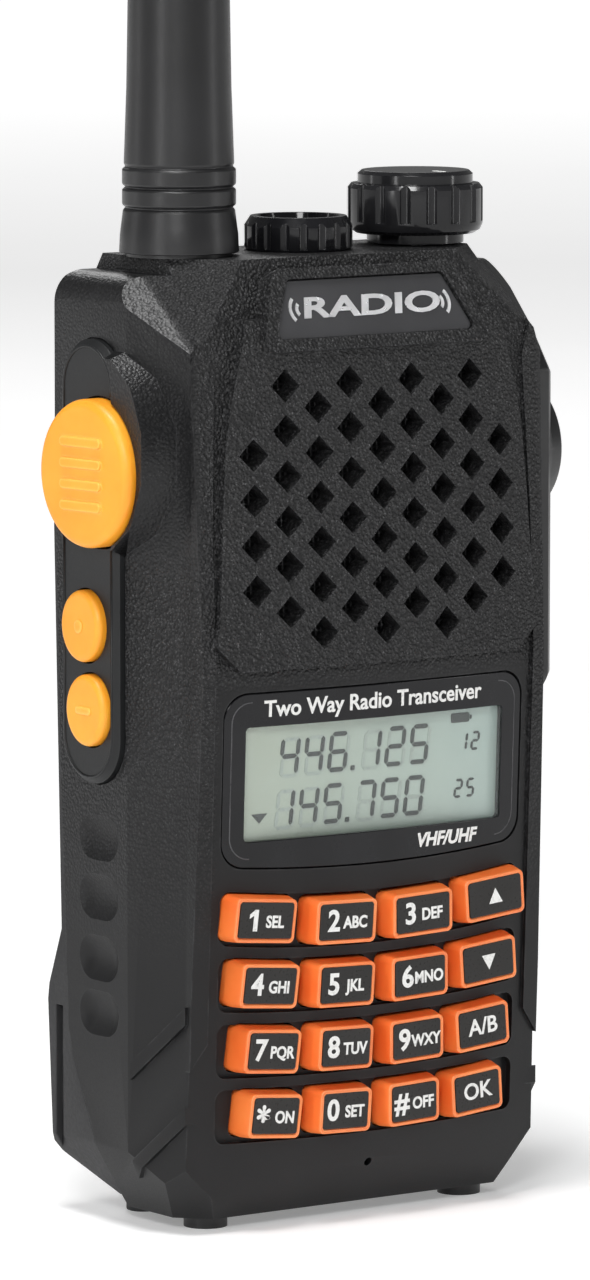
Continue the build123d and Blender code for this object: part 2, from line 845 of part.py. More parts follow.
# ---- torch ----
with BuildPart() as torch_bezel:
    with BuildSketch(Plane.XZ):
        with BuildLine():
            Polyline(
                (3.9, 105.0),
                (4.4, 105.0),
                (4.4, 110.05),
                (torch_radius - 0.2, 110.05),
                (torch_radius, 110.4),
                (torch_radius, 112.8),
                (5.5, 113.9),
                (4.7, 113.9),
                (4.3, 112.6),
                (4.3, 111.4),
                (3.9, 111.4),
                close=True,
            )
        make_face()
    revolve(axis=Axis.Z)
    with BuildSketch(Plane.XY.offset(110.3)):
        with PolarLocations(torch_radius + 0.35, 18):
            Circle(0.65)
    extrude(amount=6.0, mode=Mode.SUBTRACT)
finish(torch_bezel, "torch_bezel")

with BuildPart() as torch_lens:
    with BuildSketch(Plane.XY.offset(111.45)):
        Circle(4.25)
    extrude(amount=1.6)
    chamfer(torch_lens.faces().sort_by(Axis.Z)[-1].edges(), length=0.8, length2=1.9)
finish(torch_lens, "torch_lens")

with BuildPart() as torch_led:
    with BuildSketch(Plane.XY.offset(103.6)):
        Rectangle(6.4, 6.4)
    extrude(amount=1.0)
    with BuildSketch(Plane.XY.offset(104.6)):
        Circle(2.5)
    extrude(amount=4.5)
    fillet(torch_led.faces().sort_by(Axis.Z)[-1].edges(), 2.2)
finish(torch_led, "torch_led")

# ---- volume and power control ----
with BuildPart() as volume_encoder:
    with BuildSketch(Plane.XY.offset(99.9)):
        with Locations((control_spacing, 0.1)):
            Rectangle(10.4, 10.0)
    extrude(amount=6.1)
    with BuildSketch(Plane.XY.offset(106.0)):
        with Locations((control_spacing, 0)):
            Circle(3.5)
    extrude(amount=6.4)
    with BuildSketch(Plane.XY.offset(101.0)):
        with Locations((control_spacing, 0)):
            Circle(2.55)
    extrude(amount=14.0, mode=Mode.SUBTRACT)
finish(volume_encoder, "volume_encoder")

with BuildPart() as encoder_nut:
    with BuildSketch(Plane.XY.offset(deck_height)):
        with Locations((control_spacing, 0)):
            RegularPolygon(4.6, 6)
            Circle(3.5, mode=Mode.SUBTRACT)
    extrude(amount=1.8)
finish(encoder_nut, "encoder_nut")

with BuildPart() as volume_shaft:
    with BuildSketch(Plane.XY.offset(101.2)):
        with Locations((control_spacing, 0)):
            Circle(2.5)
    extrude(amount=15.8)
    with BuildSketch(Plane.XY.offset(112.8)):
        with Locations((control_spacing, 2.6)):
            Rectangle(6.0, 1.6)
    extrude(amount=5.0, mode=Mode.SUBTRACT)
finish(volume_shaft, "volume_shaft")

knob_axis_plane = Plane(origin=(control_spacing, 0, 0), x_dir=(1, 0, 0), z_dir=(0, -1, 0))
with BuildPart() as volume_knob:
    with BuildSketch(knob_axis_plane):
        with BuildLine():
            Polyline(
                (4.9, 110.2),
                (5.6, 110.2),
                (5.6, 111.3),
                (6.9, 111.3),
                (7.5, 111.7),
                (knob_radius, 112.4),
                (knob_radius, 116.5),
                (7.4, 117.0),
                (6.65, 117.1),
                (6.65, 118.1),
                (6.2, 118.5),
                (0, 118.5),
                (0, 117.0),
                (2.5, 117.0),
                (2.5, 112.8),
                (4.9, 112.8),
                close=True,
            )
        make_face()
    revolve(axis=Axis((control_spacing, 0, 0), (0, 0, 1)))
    with BuildSketch(Plane.XY.offset(112.7)):
        with Locations((control_spacing, 0)):
            with PolarLocations(knob_radius + 0.3, 16):
                Circle(0.7)
    extrude(amount=4.4, mode=Mode.SUBTRACT)
finish(volume_knob, "volume_knob")

# ---- cast chassis that closes the back and carries the battery ----
chassis_limit = body_envelope(wall + 0.2, True)
with BuildPart() as rear_chassis:
    with BuildSketch(Plane.XZ.offset(-chassis_back_y)):
        with Locations((0, 46.2)):
            Rectangle(2 * inner_half_width, 84.4)
    extrude(amount=chassis_back_y - chassis_front_y)
    # side flanges
    with BuildSketch(Plane.XY.offset(18.6)):
        for side in (-1, 1):
            with Locations((side * 24.3, 3.7)):
                Rectangle(1.0, 5.6)
    extrude(amount=68.0)
    # shelf above the battery and the upper back wall
    with BuildSketch(Plane.YZ.offset(-inner_half_width)):
        with BuildLine():
            Polyline(
                (chassis_front_y, 85.0),
                (9.6, 85.0),
                (9.6, 107.2),
                (7.4, 107.2),
                (7.4, 87.0),
                (chassis_front_y, 87.0),
                close=True,
            )
        make_face()
    extrude(amount=2 * inner_half_width)
    add(chassis_limit, mode=Mode.INTERSECT)
    # room for the side switch board
    with BuildSketch(Plane.XZ.offset(2)):
        with Locations((-23.0, 73.9)):
            Rectangle(4.4, 45.0)
    extrude(amount=-3.0, mode=Mode.SUBTRACT)
    # opening of the latch and slot of its catch
    with BuildSketch(Plane.XZ):
        with Locations((0, 90.6)):
            RectangleRounded(12.6, 5.4, 1.2)
    extrude(amount=-12, mode=Mode.SUBTRACT)
    with BuildSketch(Plane.XY.offset(84)):
        with Locations((0, 5.0)):
            Rectangle(9.6, 3.4)
    extrude(amount=4, mode=Mode.SUBTRACT)
    # screw holes: casing screws and clip screws
    with BuildSketch(Plane.XZ.offset(2)):
        with Locations(*case_screw_places):
            Circle(1.1)
    extrude(amount=-4, mode=Mode.SUBTRACT)
    with BuildSketch(Plane.XZ.offset(-7)):
        with Locations((-clip_screw_x, clip_screw_z), (clip_screw_x, clip_screw_z)):
            Circle(1.0)
    extrude(amount=-4, mode=Mode.SUBTRACT)
    # battery lugs
    for height in lug_heights:
        with BuildSketch(Plane.XY.offset(height)):
            for side in (-1, 1):
                with Locations((side * 23.3, lug_y)):
                    Rectangle(1.6, 1.2)
        extrude(amount=lug_length)
finish(rear_chassis, "rear_chassis")

screw_places = [(x, z, chassis_back_y) for x, z in case_screw_places]
screw_places += [(x, clip_screw_z, bracket_back_y) for x in (-clip_screw_x, clip_screw_x)]
with BuildPart() as screws:
    for x, z, seat_y in screw_places:
        with BuildSketch(Plane.XZ.offset(-seat_y)):
            with Locations((x, z)):
                Circle(1.8)
        extrude(amount=-0.8)
        with BuildSketch(Plane.XZ.offset(-seat_y)):
            with Locations((x, z)):
                Circle(0.9)
        extrude(amount=6.0)
finish(screws, "screws")

with BuildPart() as chassis_contacts:
    with BuildSketch(Plane.XZ.offset(-chassis_back_y)):
        with Locations((-6, 76.0), (0, 76.0), (6, 76.0)):
            Rectangle(2.4, 5.0)
    extrude(amount=-1.2)
finish(chassis_contacts, "chassis_contacts")

# ---- battery ----
joint_line = ((9.5, 71.5), (8.9, 50.0), (8.0, 32.0), (7.5, 22.0), (6.8, 18.6))
with BuildPart() as battery_front_shell:
    with BuildSketch(Plane.YZ.offset(-battery_half_width)):
        with BuildLine():
            Polyline(
                (battery_front_y, 10.0),
                (battery_front_y, battery_top),
                (9.9, battery_top),
                *joint_line,
                close=True,
            )
        make_face()
    extrude(amount=2 * battery_half_width)
    with BuildSketch(Plane.XZ.offset(-3.5)):
        with Locations((0, 51.6)):
            Rectangle(42.0, 56.0)
    extrude(amount=-8, mode=Mode.SUBTRACT)
    for height in lug_heights:
        for side in (-1, 1):
            with BuildSketch(Plane.XY.offset(height - 0.3)):
                with Locations((side * 22.9, lug_y)):
                    Rectangle(1.4, 1.8)
            extrude(amount=lug_length + battery_slide + 0.6, mode=Mode.SUBTRACT)
            with BuildSketch(Plane.XY.offset(height + battery_slide - 0.3)):
                with Locations((side * 22.9, 3.8)):
                    Rectangle(1.4, 4.6)
            extrude(amount=lug_length + 0.6, mode=Mode.SUBTRACT)
    # notch for the catch, with an undercut behind it
    with BuildSketch(Plane.YZ.offset(-4.5)):
        with BuildLine():
            Polyline((4.0, 90), (4.0, 81.6), (6.9, 81.6), (6.9, 83.4), (5.7, 83.4), (5.7, 90), close=True)
        make_face()
    extrude(amount=9.0, mode=Mode.SUBTRACT)
    with BuildSketch(Plane.XZ.offset(-battery_front_y)):
        with Locations((-6, 76.0), (0, 76.0), (6, 76.0)):
            Rectangle(3.4, 6.0)
    extrude(amount=-0.5, mode=Mode.SUBTRACT)
finish(battery_front_shell, "battery_front_shell")

with BuildPart() as battery_contacts:
    with BuildSketch(Plane.XZ.offset(-battery_front_y - 0.2)):
        with Locations((-6, 76.0), (0, 76.0), (6, 76.0)):
            Rectangle(3.4, 6.0)
    extrude(amount=-0.3)
finish(battery_contacts, "battery_contacts")

with BuildPart() as battery_cells:
    with BuildSketch(Plane.XZ.offset(-3.6)):
        with Locations((-10.4, 51.6), (10.4, 51.6)):
            RectangleRounded(19.8, 55.0, 1.5)
    extrude(amount=-3.9)
finish(battery_cells, "battery_cells")

with BuildPart() as battery_rear_shell:
    with BuildSketch(Plane.YZ):
        with BuildLine():
            Polyline(
                (1.9, 2.6),
                (2.45, 9.6),
                *reversed(joint_line),
                (9.9, battery_top),
                (11.4, battery_top),
                (11.2, 76.0),
                (10.0, 33.0),
                (12.5, 26.5),
                (12.8, 24.5),
                (11.9, 8.4),
                (11.0, 6.8),
                (3.0, 2.6),
                close=True,
            )
        make_face()
    extrude(amount=26.8, both=True)
    # cut corners, seen from behind
    with BuildSketch(Plane.XZ):
        with BuildLine():
            Polyline(
                (-22.6, 2.0),
                (22.6, 2.0),
                (26.8, 9.0),
                (26.8, 82.0),
                (24.2, battery_top),
                (-24.2, battery_top),
                (-26.8, 82.0),
                (-26.8, 9.0),
                close=True,
            )
        make_face()
    extrude(amount=30, both=True, mode=Mode.INTERSECT)
    chamfer(battery_rear_shell.faces().filter_by(Axis.X).edges().filter_by_position(Axis.Y, 10.0, 13.0), 0.9)
    # charger guide grooves in the sides
    with BuildSketch(Plane.XY.offset(6.0)):
        for side in (-1, 1):
            with Locations((side * 26.8, 9.6)):
                Rectangle(2.0, 1.4)
    extrude(amount=18.0, mode=Mode.SUBTRACT)
    # standing nubs
    with BuildSketch(Plane.XY):
        with Locations((-18, 5.4), (18, 5.4)):
            Circle(2.0)
    extrude(amount=5.2)
finish(battery_rear_shell, "battery_rear_shell")

# ---- battery latch ----
with BuildPart() as battery_latch:
    with BuildSketch(Plane.XZ.offset(-5.9)):
        with Locations((0, 90.6)):
            Rectangle(13.6, 6.2)
    extrude(amount=-1.3)
    with BuildSketch(Plane.XZ.offset(-7.2)):
        with Locations((0, 90.6)):
            RectangleRounded(12.2, 5.0, 1.0)
    extrude(amount=-3.4)
    fillet(battery_latch.faces().sort_by(Axis.Y)[-1].edges(), 0.5)
finish(battery_latch, "battery_latch")

with BuildPart() as battery_catch:
    with BuildSketch(Plane.YZ.offset(-4.0)):
        with BuildLine():
            Polyline(
                (4.6, 82.2),
                (6.3, 82.2),
                (6.0, 83.1),
                (5.1, 83.1),
                (5.1, 98.6),
                (7.4, 98.6),
                (7.4, 99.2),
                (4.6, 99.2),
                close=True,
            )
        make_face()
    extrude(amount=8.0)
finish(battery_catch, "battery_catch")

# ---- belt clip ----
with BuildPart() as belt_clip_bracket:
    with BuildSketch(Plane.XZ.offset(-9.6)):
        with Locations((0, 99.5)):
            RectangleRounded(21.4, 11.6, 1.5)
    extrude(amount=-1.4)
    with BuildSketch(Plane.YZ):
        with BuildLine():
            Line((10.8, 93.8), (10.8, 99.6))
            Line((10.8, 99.6), (clip_pin_y, clip_pin_z + 2.1))
            ThreePointArc(
                (clip_pin_y, clip_pin_z + 2.1),
                (clip_pin_y + 2.1, clip_pin_z),
                (clip_pin_y, clip_pin_z - 2.1),
            )
            Line((clip_pin_y, clip_pin_z - 2.1), (10.8, 93.8))
        make_face()
    extrude(amount=clip_half_width + 1.7, both=True)
    with BuildSketch(Plane.XZ.offset(-11.0)):
        with Locations((0, 97.0)):
            Rectangle(2 * clip_half_width + 0.6, 12.0)
    extrude(amount=-8.0, mode=Mode.SUBTRACT)
    with BuildSketch(Plane.YZ.offset(-20)):
        with Locations((clip_pin_y, clip_pin_z)):
            Circle(1.0)
    extrude(amount=40, mode=Mode.SUBTRACT)
    with BuildSketch(Plane.XZ.offset(-9.0)):
        with Locations((-clip_screw_x, clip_screw_z), (clip_screw_x, clip_screw_z)):
            Circle(1.1)
    extrude(amount=-4, mode=Mode.SUBTRACT)
finish(belt_clip_bracket, "belt_clip_bracket")

with BuildPart() as belt_clip_pin:
    with BuildSketch(Plane.YZ.offset(-clip_half_width - 1.6)):
        with Locations((clip_pin_y, clip_pin_z)):
            Circle(1.0)
    extrude(amount=2 * clip_half_width + 3.2)
finish(belt_clip_pin, "belt_clip_pin")

with BuildPart() as belt_clip:
    with BuildSketch(Plane.YZ):
        with BuildLine():
            Polyline(
                (14.6, 104.6),
                (16.0, 104.6),
                (16.7, 96.0),
                (17.4, 78.0),
                (17.0, 62.0),
                (14.9, 47.0),
                (15.1, 43.0),
                (14.0, 42.6),
                (13.3, 46.6),
                (15.2, 62.0),
                (15.6, 78.0),
                (15.0, 92.0),
                (14.6, 96.0),
                close=True,
            )
        make_face()
    extrude(amount=clip_half_width, both=True)
    with BuildSketch(Plane.YZ):
        with Locations((clip_pin_y, clip_pin_z)):
            Circle(2.0)
    extrude(amount=clip_half_width, both=True)
    with BuildSketch(Plane.YZ.offset(-20)):
        with Locations((clip_pin_y, clip_pin_z)):
            Circle(1.05)
    extrude(amount=40, mode=Mode.SUBTRACT)
    # window in which the torsion spring sits
    with BuildSketch(Plane.XZ.offset(-10)):
        with Locations((0, clip_pin_z)):
            Rectangle(7.0, 5.6)
    extrude(amount=-8.0, mode=Mode.SUBTRACT)
    # rounded lower end and a stiffening slot
    with BuildSketch(Plane.XZ.offset(-10)):
        with Locations((0, 66.0)):
            SlotOverall(26.0, 6.0, rotation=90)
    extrude(amount=-10, mode=Mode.SUBTRACT)
finish(belt_clip, "belt_clip")

with BuildPart() as belt_clip_spring:
    for step in range(5):
        with BuildSketch(Plane.YZ.offset(-2.2 + step * 0.9)):
            with Locations((clip_pin_y, clip_pin_z)):
                Circle(1.85)
                Circle(1.15, mode=Mode.SUBTRACT)
        extrude(amount=0.9)
    with BuildSketch(Plane.YZ.offset(-2.2)):
        with Locations((clip_pin_y - 2.5, clip_pin_z + 1.5)):
            Rectangle(2.2, 0.6)
    extrude(amount=0.6)
finish(belt_clip_spring, "belt_clip_spring")

# ---- front feet ----
with BuildPart() as feet:
    with BuildSketch(Plane.XY):
        with Locations((-18, -6.9), (18, -6.9)):
            Circle(2.5)
    extrude(amount=body_bottom)
finish(feet, "feet")
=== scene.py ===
import json
import math

import bmesh
import bpy
from mathutils import Matrix, Vector


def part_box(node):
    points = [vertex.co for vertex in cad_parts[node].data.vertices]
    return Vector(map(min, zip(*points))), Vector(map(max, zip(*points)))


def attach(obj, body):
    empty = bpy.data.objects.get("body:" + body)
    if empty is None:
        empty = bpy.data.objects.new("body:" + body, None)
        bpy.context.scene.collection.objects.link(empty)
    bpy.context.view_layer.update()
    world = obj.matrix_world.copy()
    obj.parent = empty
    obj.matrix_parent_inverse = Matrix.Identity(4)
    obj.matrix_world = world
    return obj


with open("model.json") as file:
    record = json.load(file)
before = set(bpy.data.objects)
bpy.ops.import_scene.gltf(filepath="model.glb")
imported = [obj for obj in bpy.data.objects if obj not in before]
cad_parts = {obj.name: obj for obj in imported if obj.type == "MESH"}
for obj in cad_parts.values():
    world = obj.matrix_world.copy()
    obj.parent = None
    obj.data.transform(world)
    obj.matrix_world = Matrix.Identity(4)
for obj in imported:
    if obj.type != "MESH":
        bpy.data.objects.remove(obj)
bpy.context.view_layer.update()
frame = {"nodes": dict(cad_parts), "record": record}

MM = 0.001
NODES = frame["nodes"]

# ---- the camera ----
VIEW_AZIMUTH = 36.0
VIEW_ELEVATION = 7.37
VIEW_DISTANCE = 0.973
VIEW_TARGET = Vector((0.0, -0.0044, 0.055))
AIM_RIGHT = -0.00295
AIM_UP = 0.01044
FOCAL_LENGTH = 239.1

# ---- the studio ----
FLOOR_RADIUS = 12.0
FLOOR_GLOW = (0.25, 0.88)
FLOOR_GLOW_REACH = (0.3, 2.4)
WORLD_LIGHT = 0.16
WORLD_BACKGROUND = 0.92

# ---- the leaning lower face, as the CAD model has it ----
FACE_Y = -13.6
FACE_LEAN = -0.042
CROWN_RADIUS = 170.0
KEY_PROUD = 1.9
SEAT_DEPTH = 0.25
SEAT_WIDTHS = (7.4, 7.0, 6.6, 6.2)
SEAT_HEIGHT = 4.1
FLANGE_RISE = 0.13
OUTER_TILT = 5.5
INNER_TILT = 2.0
WINDOW = (-18.0, 44.8, 18.0, 57.8)
PRINT_LIFT = 0.0
INK_THICKNESS = 0.00006
SEGMENT_THICKNESS = 0.00004
TRIM_RIM_INSET = 0.0008
TRIM_RIM_CLEARANCE = 1.07


# =====================================================================
# Materials
# =====================================================================
class Shader:
    """A node material under construction, with short calls for the usual nodes."""

    def __init__(self, name):
        self.material = bpy.data.materials.new(name)
        self.material.use_nodes = True
        self.nodes = self.material.node_tree.nodes
        self.links = self.material.node_tree.links
        self.bsdf = self.nodes["Principled BSDF"]
        self.coords = self.nodes.new("ShaderNodeTexCoord").outputs["Object"]

    def node(self, kind, **settings):
        made = self.nodes.new(kind)
        for key, value in settings.items():
            setattr(made, key, value)
        return made

    def link(self, source, target):
        self.links.new(source, target)

    def noise(self, scale, detail=2.0, rough=0.5, stretch=(1, 1, 1)):
        mapping = self.node("ShaderNodeMapping")
        mapping.inputs["Scale"].default_value = stretch
        self.link(self.coords, mapping.inputs["Vector"])
        texture = self.node("ShaderNodeTexNoise")
        texture.inputs["Scale"].default_value = scale
        texture.inputs["Detail"].default_value = detail
        texture.inputs["Roughness"].default_value = rough
        self.link(mapping.outputs["Vector"], texture.inputs["Vector"])
        return texture.outputs["Fac"]

    def voronoi(self, scale, feature="F1"):
        texture = self.node("ShaderNodeTexVoronoi", feature=feature)
        texture.inputs["Scale"].default_value = scale
        self.link(self.coords, texture.inputs["Vector"])
        return texture.outputs["Distance"]

    def span(self, source, low, high, to_low=0.0, to_high=1.0):
        remap = self.node("ShaderNodeMapRange")
        remap.inputs["From Min"].default_value = low
        remap.inputs["From Max"].default_value = high
        remap.inputs["To Min"].default_value = to_low
        remap.inputs["To Max"].default_value = to_high
        self.link(source, remap.inputs["Value"])
        return remap.outputs["Result"]

    def math(self, operation, first, second=None):
        op = self.node("ShaderNodeMath", operation=operation)
        for slot, value in enumerate((first, second)):
            if value is None:
                continue
            if isinstance(value, (int, float)):
                op.inputs[slot].default_value = value
            else:
                self.link(value, op.inputs[slot])
        return op.outputs[0]

    def mix(self, factor, first, second):
        blend = self.node("ShaderNodeMix", data_type="RGBA")
        for socket, value in ((blend.inputs[0], factor), (blend.inputs[6], first), (blend.inputs[7], second)):
            if isinstance(value, tuple):
                socket.default_value = (*value, 1.0)
            elif isinstance(value, (int, float)):
                socket.default_value = value
            else:
                self.link(value, socket)
        return blend.outputs[2]

    def height_mask(self, low, high):
        """0 below low and 1 above high, in metres up the object."""
        split = self.node("ShaderNodeSeparateXYZ")
        self.link(self.coords, split.inputs[0])
        return self.span(split.outputs["Z"], low, high)

    def edge_mask(self, radius):
        """1 on edges, 0 on flats: where the rounded normal leaves the true one."""
        bevel = self.node("ShaderNodeBevel", samples=4)
        bevel.inputs["Radius"].default_value = radius
        geometry = self.node("ShaderNodeNewGeometry")
        dot = self.node("ShaderNodeVectorMath", operation="DOT_PRODUCT")
        self.link(bevel.outputs["Normal"], dot.inputs[0])
        self.link(geometry.outputs["Normal"], dot.inputs[1])
        return self.span(dot.outputs["Value"], 0.995, 0.86)

    def bump(self, height, distance, strength=1.0, normal=None):
        bump = self.node("ShaderNodeBump")
        bump.inputs["Distance"].default_value = distance
        if isinstance(strength, (int, float)):
            bump.inputs["Strength"].default_value = strength
        else:
            self.link(strength, bump.inputs["Strength"])
        self.link(height, bump.inputs["Height"])
        if normal is not None:
            self.link(normal, bump.inputs["Normal"])
        return bump.outputs["Normal"]

    def finish(self, colour, rough, normal=None, **constants):
        if isinstance(colour, tuple):
            self.bsdf.inputs["Base Color"].default_value = (*colour, 1.0)
        else:
            self.link(colour, self.bsdf.inputs["Base Color"])
        if isinstance(rough, (int, float)):
            self.bsdf.inputs["Roughness"].default_value = rough
        else:
            self.link(rough, self.bsdf.inputs["Roughness"])
        if normal is not None:
            self.link(normal, self.bsdf.inputs["Normal"])
        for key, value in constants.items():
            self.bsdf.inputs[key.replace("_", " ")].default_value = value
        return self.material


def casing_material():
    """Moulded casing: leather grain on the upper half, finer satin texture below, worn edges, and small
    painted highlights (glints) on the grain.
    """
    s = Shader("casing_moulding")
    upper = s.height_mask(0.0615, 0.0645)
    split = s.node("ShaderNodeSeparateXYZ")
    s.link(s.coords, split.inputs[0])
    outward = s.math("ABSOLUTE", split.outputs["X"])
    band = s.math("MULTIPLY", s.span(outward, 0.0212, 0.0222), s.height_mask(0.03, 0.06))
    polished = s.math("MULTIPLY", s.span(outward, 0.0234, 0.0242), s.height_mask(0.073, 0.078))
    grained = s.math("MAXIMUM", upper, s.math("MULTIPLY", band, 0.75))
    grained = s.math("MULTIPLY", grained, s.span(polished, 0.0, 1.0, 1.0, 0.25))
    pebble = s.span(s.voronoi(2500), 0.05, 0.75, 1.0, 0.0)
    creases = s.noise(3600, 4.0, 0.65)
    grain = s.math("ADD", s.math("MULTIPLY", pebble, 0.6), s.math("MULTIPLY", creases, 0.4))
    fine = s.noise(5200, 2.0, 0.6)
    # painted highlights: small bright glints painted into the colour of the grained areas
    painted_glints = s.math("MULTIPLY", s.span(s.noise(4200, 2.0, 0.75), 0.6, 0.74), grained)
    wear = s.math("MULTIPLY", s.edge_mask(0.0003), s.span(s.noise(420, 4.0, 0.6), 0.42, 0.62))
    tone = s.mix(s.span(s.noise(70, 3.0), 0.3, 0.7), (0.005, 0.005, 0.0055), (0.008, 0.008, 0.0085))
    tone = s.mix(s.math("MULTIPLY", grained, s.span(grain, 0.4, 0.75, 0.0, 0.8)), tone, (0.042, 0.042, 0.043))
    tone = s.mix(s.math("MULTIPLY", painted_glints, 0.8), tone, (0.17, 0.17, 0.175))
    tone = s.mix(s.math("MULTIPLY", wear, 0.35), tone, (0.09, 0.09, 0.095))
    rough = s.math("SUBTRACT", s.span(fine, 0.2, 0.8, 0.42, 0.56), s.math("MULTIPLY", wear, 0.1))
    rough = s.math("SUBTRACT", rough, s.math("MULTIPLY", polished, 0.14))
    normal = s.bump(fine, 0.00002, 0.25)
    normal = s.bump(grain, 0.0003, grained, normal)
    return s.finish(tone, rough, normal, Specular_IOR_Level=0.34)


def plastic(name, colour, rough, grain=3200, depth=0.00002, wear=0.35, coat=0.0):
    """A moulded plastic with fine texture, tone drift and lighter edges."""
    s = Shader(name)
    fine = s.noise(grain, 2.5, 0.6)
    drift = s.span(s.noise(90, 3.0), 0.3, 0.7)
    lighter = tuple(c * 1.35 + 0.004 for c in colour)
    worn = tuple(min(1.0, c * 1.8 + 0.05) for c in colour)
    tone = s.mix(drift, colour, lighter)
    edge = s.math("MULTIPLY", s.edge_mask(0.0003), s.span(s.noise(300, 4.0), 0.4, 0.6))
    tone = s.mix(s.math("MULTIPLY", edge, wear), tone, worn)
    rough = s.span(fine, 0.25, 0.75, rough - 0.06, rough + 0.07)
    return s.finish(tone, rough, s.bump(fine, depth, 0.5), Coat_Weight=coat, Specular_IOR_Level=0.32)


def gloss(name, colour):
    """Polished black plastic with faint haze and hairline scratches."""
    s = Shader(name)
    haze = s.noise(140, 4.0, 0.6)
    scratch = s.noise(900, 2.0, 0.5, (1, 1, 0.04))
    rough = s.math("ADD", s.span(haze, 0.3, 0.7, 0.09, 0.17), s.span(scratch, 0.66, 0.76, 0.0, 0.12))
    tone = s.mix(s.span(haze, 0.3, 0.7), colour, tuple(c * 1.5 + 0.002 for c in colour))
    return s.finish(tone, rough, s.bump(scratch, 0.000004, 0.2), Specular_IOR_Level=0.3)


def rubber(name, colour, deep, rough, glow=0.0, grain=2400):
    """Soft moulded rubber: deeper tone in patches, a painted highlight lightening every edge, light
    scattering for bright colours.
    """
    s = Shader(name)
    fine = s.noise(grain, 3.0, 0.6)
    patch = s.span(s.noise(120, 3.0), 0.3, 0.7)
    tone = s.mix(patch, deep, colour)
    painted_edge_highlight = tuple(min(1.0, c * 1.2 + 0.12 * max(colour)) for c in colour)
    # painted highlight: every edge lighter in colour, as where light catches the rims
    tone = s.mix(s.math("MULTIPLY", s.edge_mask(0.0005), 0.7), tone, painted_edge_highlight)
    normal = s.bump(fine, 0.000015, 0.45)
    return s.finish(
        tone,
        s.span(fine, 0.2, 0.8, rough - 0.05, rough + 0.06),
        normal,
        Subsurface_Weight=glow,
        Subsurface_Scale=0.0012,
        Subsurface_Radius=(1.0, 0.45, 0.2),
    )


def metal(name, colour, rough, brushed=(1, 1, 1), tarnish=0.5):
    """Plated or cast metal with brushing along one axis and dull patches."""
    s = Shader(name)
    lines = s.noise(1800, 2.0, 0.5, brushed)
    patch = s.span(s.noise(160, 4.0, 0.65), 0.35, 0.7)
    dull = tuple(c * 0.62 for c in colour)
    tone = s.mix(s.math("MULTIPLY", patch, tarnish), colour, dull)
    shine = s.span(lines, 0.25, 0.75, rough - 0.07, rough + 0.1)
    return s.finish(tone, shine, s.bump(lines, 0.000008, 0.4), Metallic=1.0)


def cast_material():
    """Black coated die casting: orange peel and bright worn edges."""
    s = Shader("cast_chassis")
    peel = s.noise(1300, 3.0, 0.6)
    edge = s.math("MULTIPLY", s.edge_mask(0.0003), s.span(s.noise(240, 4.0), 0.42, 0.6))
    tone = s.mix(s.span(peel, 0.3, 0.7), (0.03, 0.03, 0.032), (0.045, 0.045, 0.047))
    tone = s.mix(edge, tone, (0.3, 0.3, 0.31))
    return s.finish(tone, s.span(peel, 0.3, 0.7, 0.36, 0.52), s.bump(peel, 0.00006, 0.5), Metallic=0.35)


def glass_material(name, colour, rough=0.04, alpha=0.12):
    """Clear window: a thin tinted sheet with faint smears."""
    s = Shader(name)
    smear = s.noise(130, 4.0, 0.6)
    material = s.finish(colour, s.span(smear, 0.3, 0.7, rough, rough + 0.06), None, Alpha=alpha, IOR=1.46)
    material.surface_render_method = "BLENDED"
    return material


def lcd_material():
    """Reflective liquid crystal: grey green with a soft shift of tone and a fine bump."""
    s = Shader("lcd_glass")
    split = s.node("ShaderNodeSeparateXYZ")
    s.link(s.coords, split.inputs[0])
    across = s.span(split.outputs["X"], -0.018, 0.018)
    cloud = s.span(s.noise(70, 3.0, 0.5), 0.35, 0.65)
    tone = s.mix(across, (0.37, 0.42, 0.33), (0.34, 0.44, 0.41))
    tone = s.mix(s.math("MULTIPLY", cloud, 0.45), tone, (0.45, 0.53, 0.47))
    rough = s.span(cloud, 0.0, 1.0, 0.25, 0.36)
    return s.finish(tone, rough, s.bump(s.noise(2600, 2.0), 0.000004, 0.2), Coat_Weight=0.3)


def mesh_material():
    """Woven speaker mesh: dark wire lattice, with painted highlights as bright spots at some crossings."""
    s = Shader("speaker_weave")
    split = s.node("ShaderNodeSeparateXYZ")
    s.link(s.coords, split.inputs[0])
    wires = []
    for axis in ("X", "Z"):
        wave = s.math("SINE", s.math("MULTIPLY", split.outputs[axis], 2 * math.pi / 0.0007))
        wires.append(s.span(wave, -0.2, 0.9))
    lattice = s.math("MAXIMUM", wires[0], wires[1])
    painted_glint_spots = s.span(s.noise(620, 3.0, 0.7), 0.56, 0.68)
    tone = s.mix(lattice, (0.004, 0.004, 0.004), (0.05, 0.05, 0.052))
    # painted highlights: near white glints at the crossings where the noise peaks
    tone = s.mix(s.math("MULTIPLY", s.math("MULTIPLY", wires[0], wires[1]), painted_glint_spots), tone, (0.6, 0.6, 0.62))
    return s.finish(tone, s.span(lattice, 0, 1, 0.6, 0.32), s.bump(lattice, 0.0001, 0.8), Metallic=0.6)


def board_material():
    """Circuit board: solder mask with lighter copper showing through."""
    s = Shader("circuit_board")
    lines = s.span(s.voronoi(420), 0.12, 0.16)
    tone = s.mix(lines, (0.05, 0.2, 0.07), (0.015, 0.09, 0.035))
    rough = s.span(s.noise(500), 0.3, 0.7, 0.28, 0.42)
    return s.finish(tone, rough, s.bump(lines, 0.00002, 0.4), Coat_Weight=0.3)


def ink_material(name, colour):
    """Screen printed ink: slightly raised, with a soft uneven coverage."""
    s = Shader(name)
    cover = s.noise(2600, 3.0, 0.6)
    tone = s.mix(s.span(cover, 0.25, 0.5), tuple(c * 0.72 for c in colour), colour)
    return s.finish(tone, s.span(cover, 0.2, 0.8, 0.4, 0.55), s.bump(cover, 0.00001, 0.3))


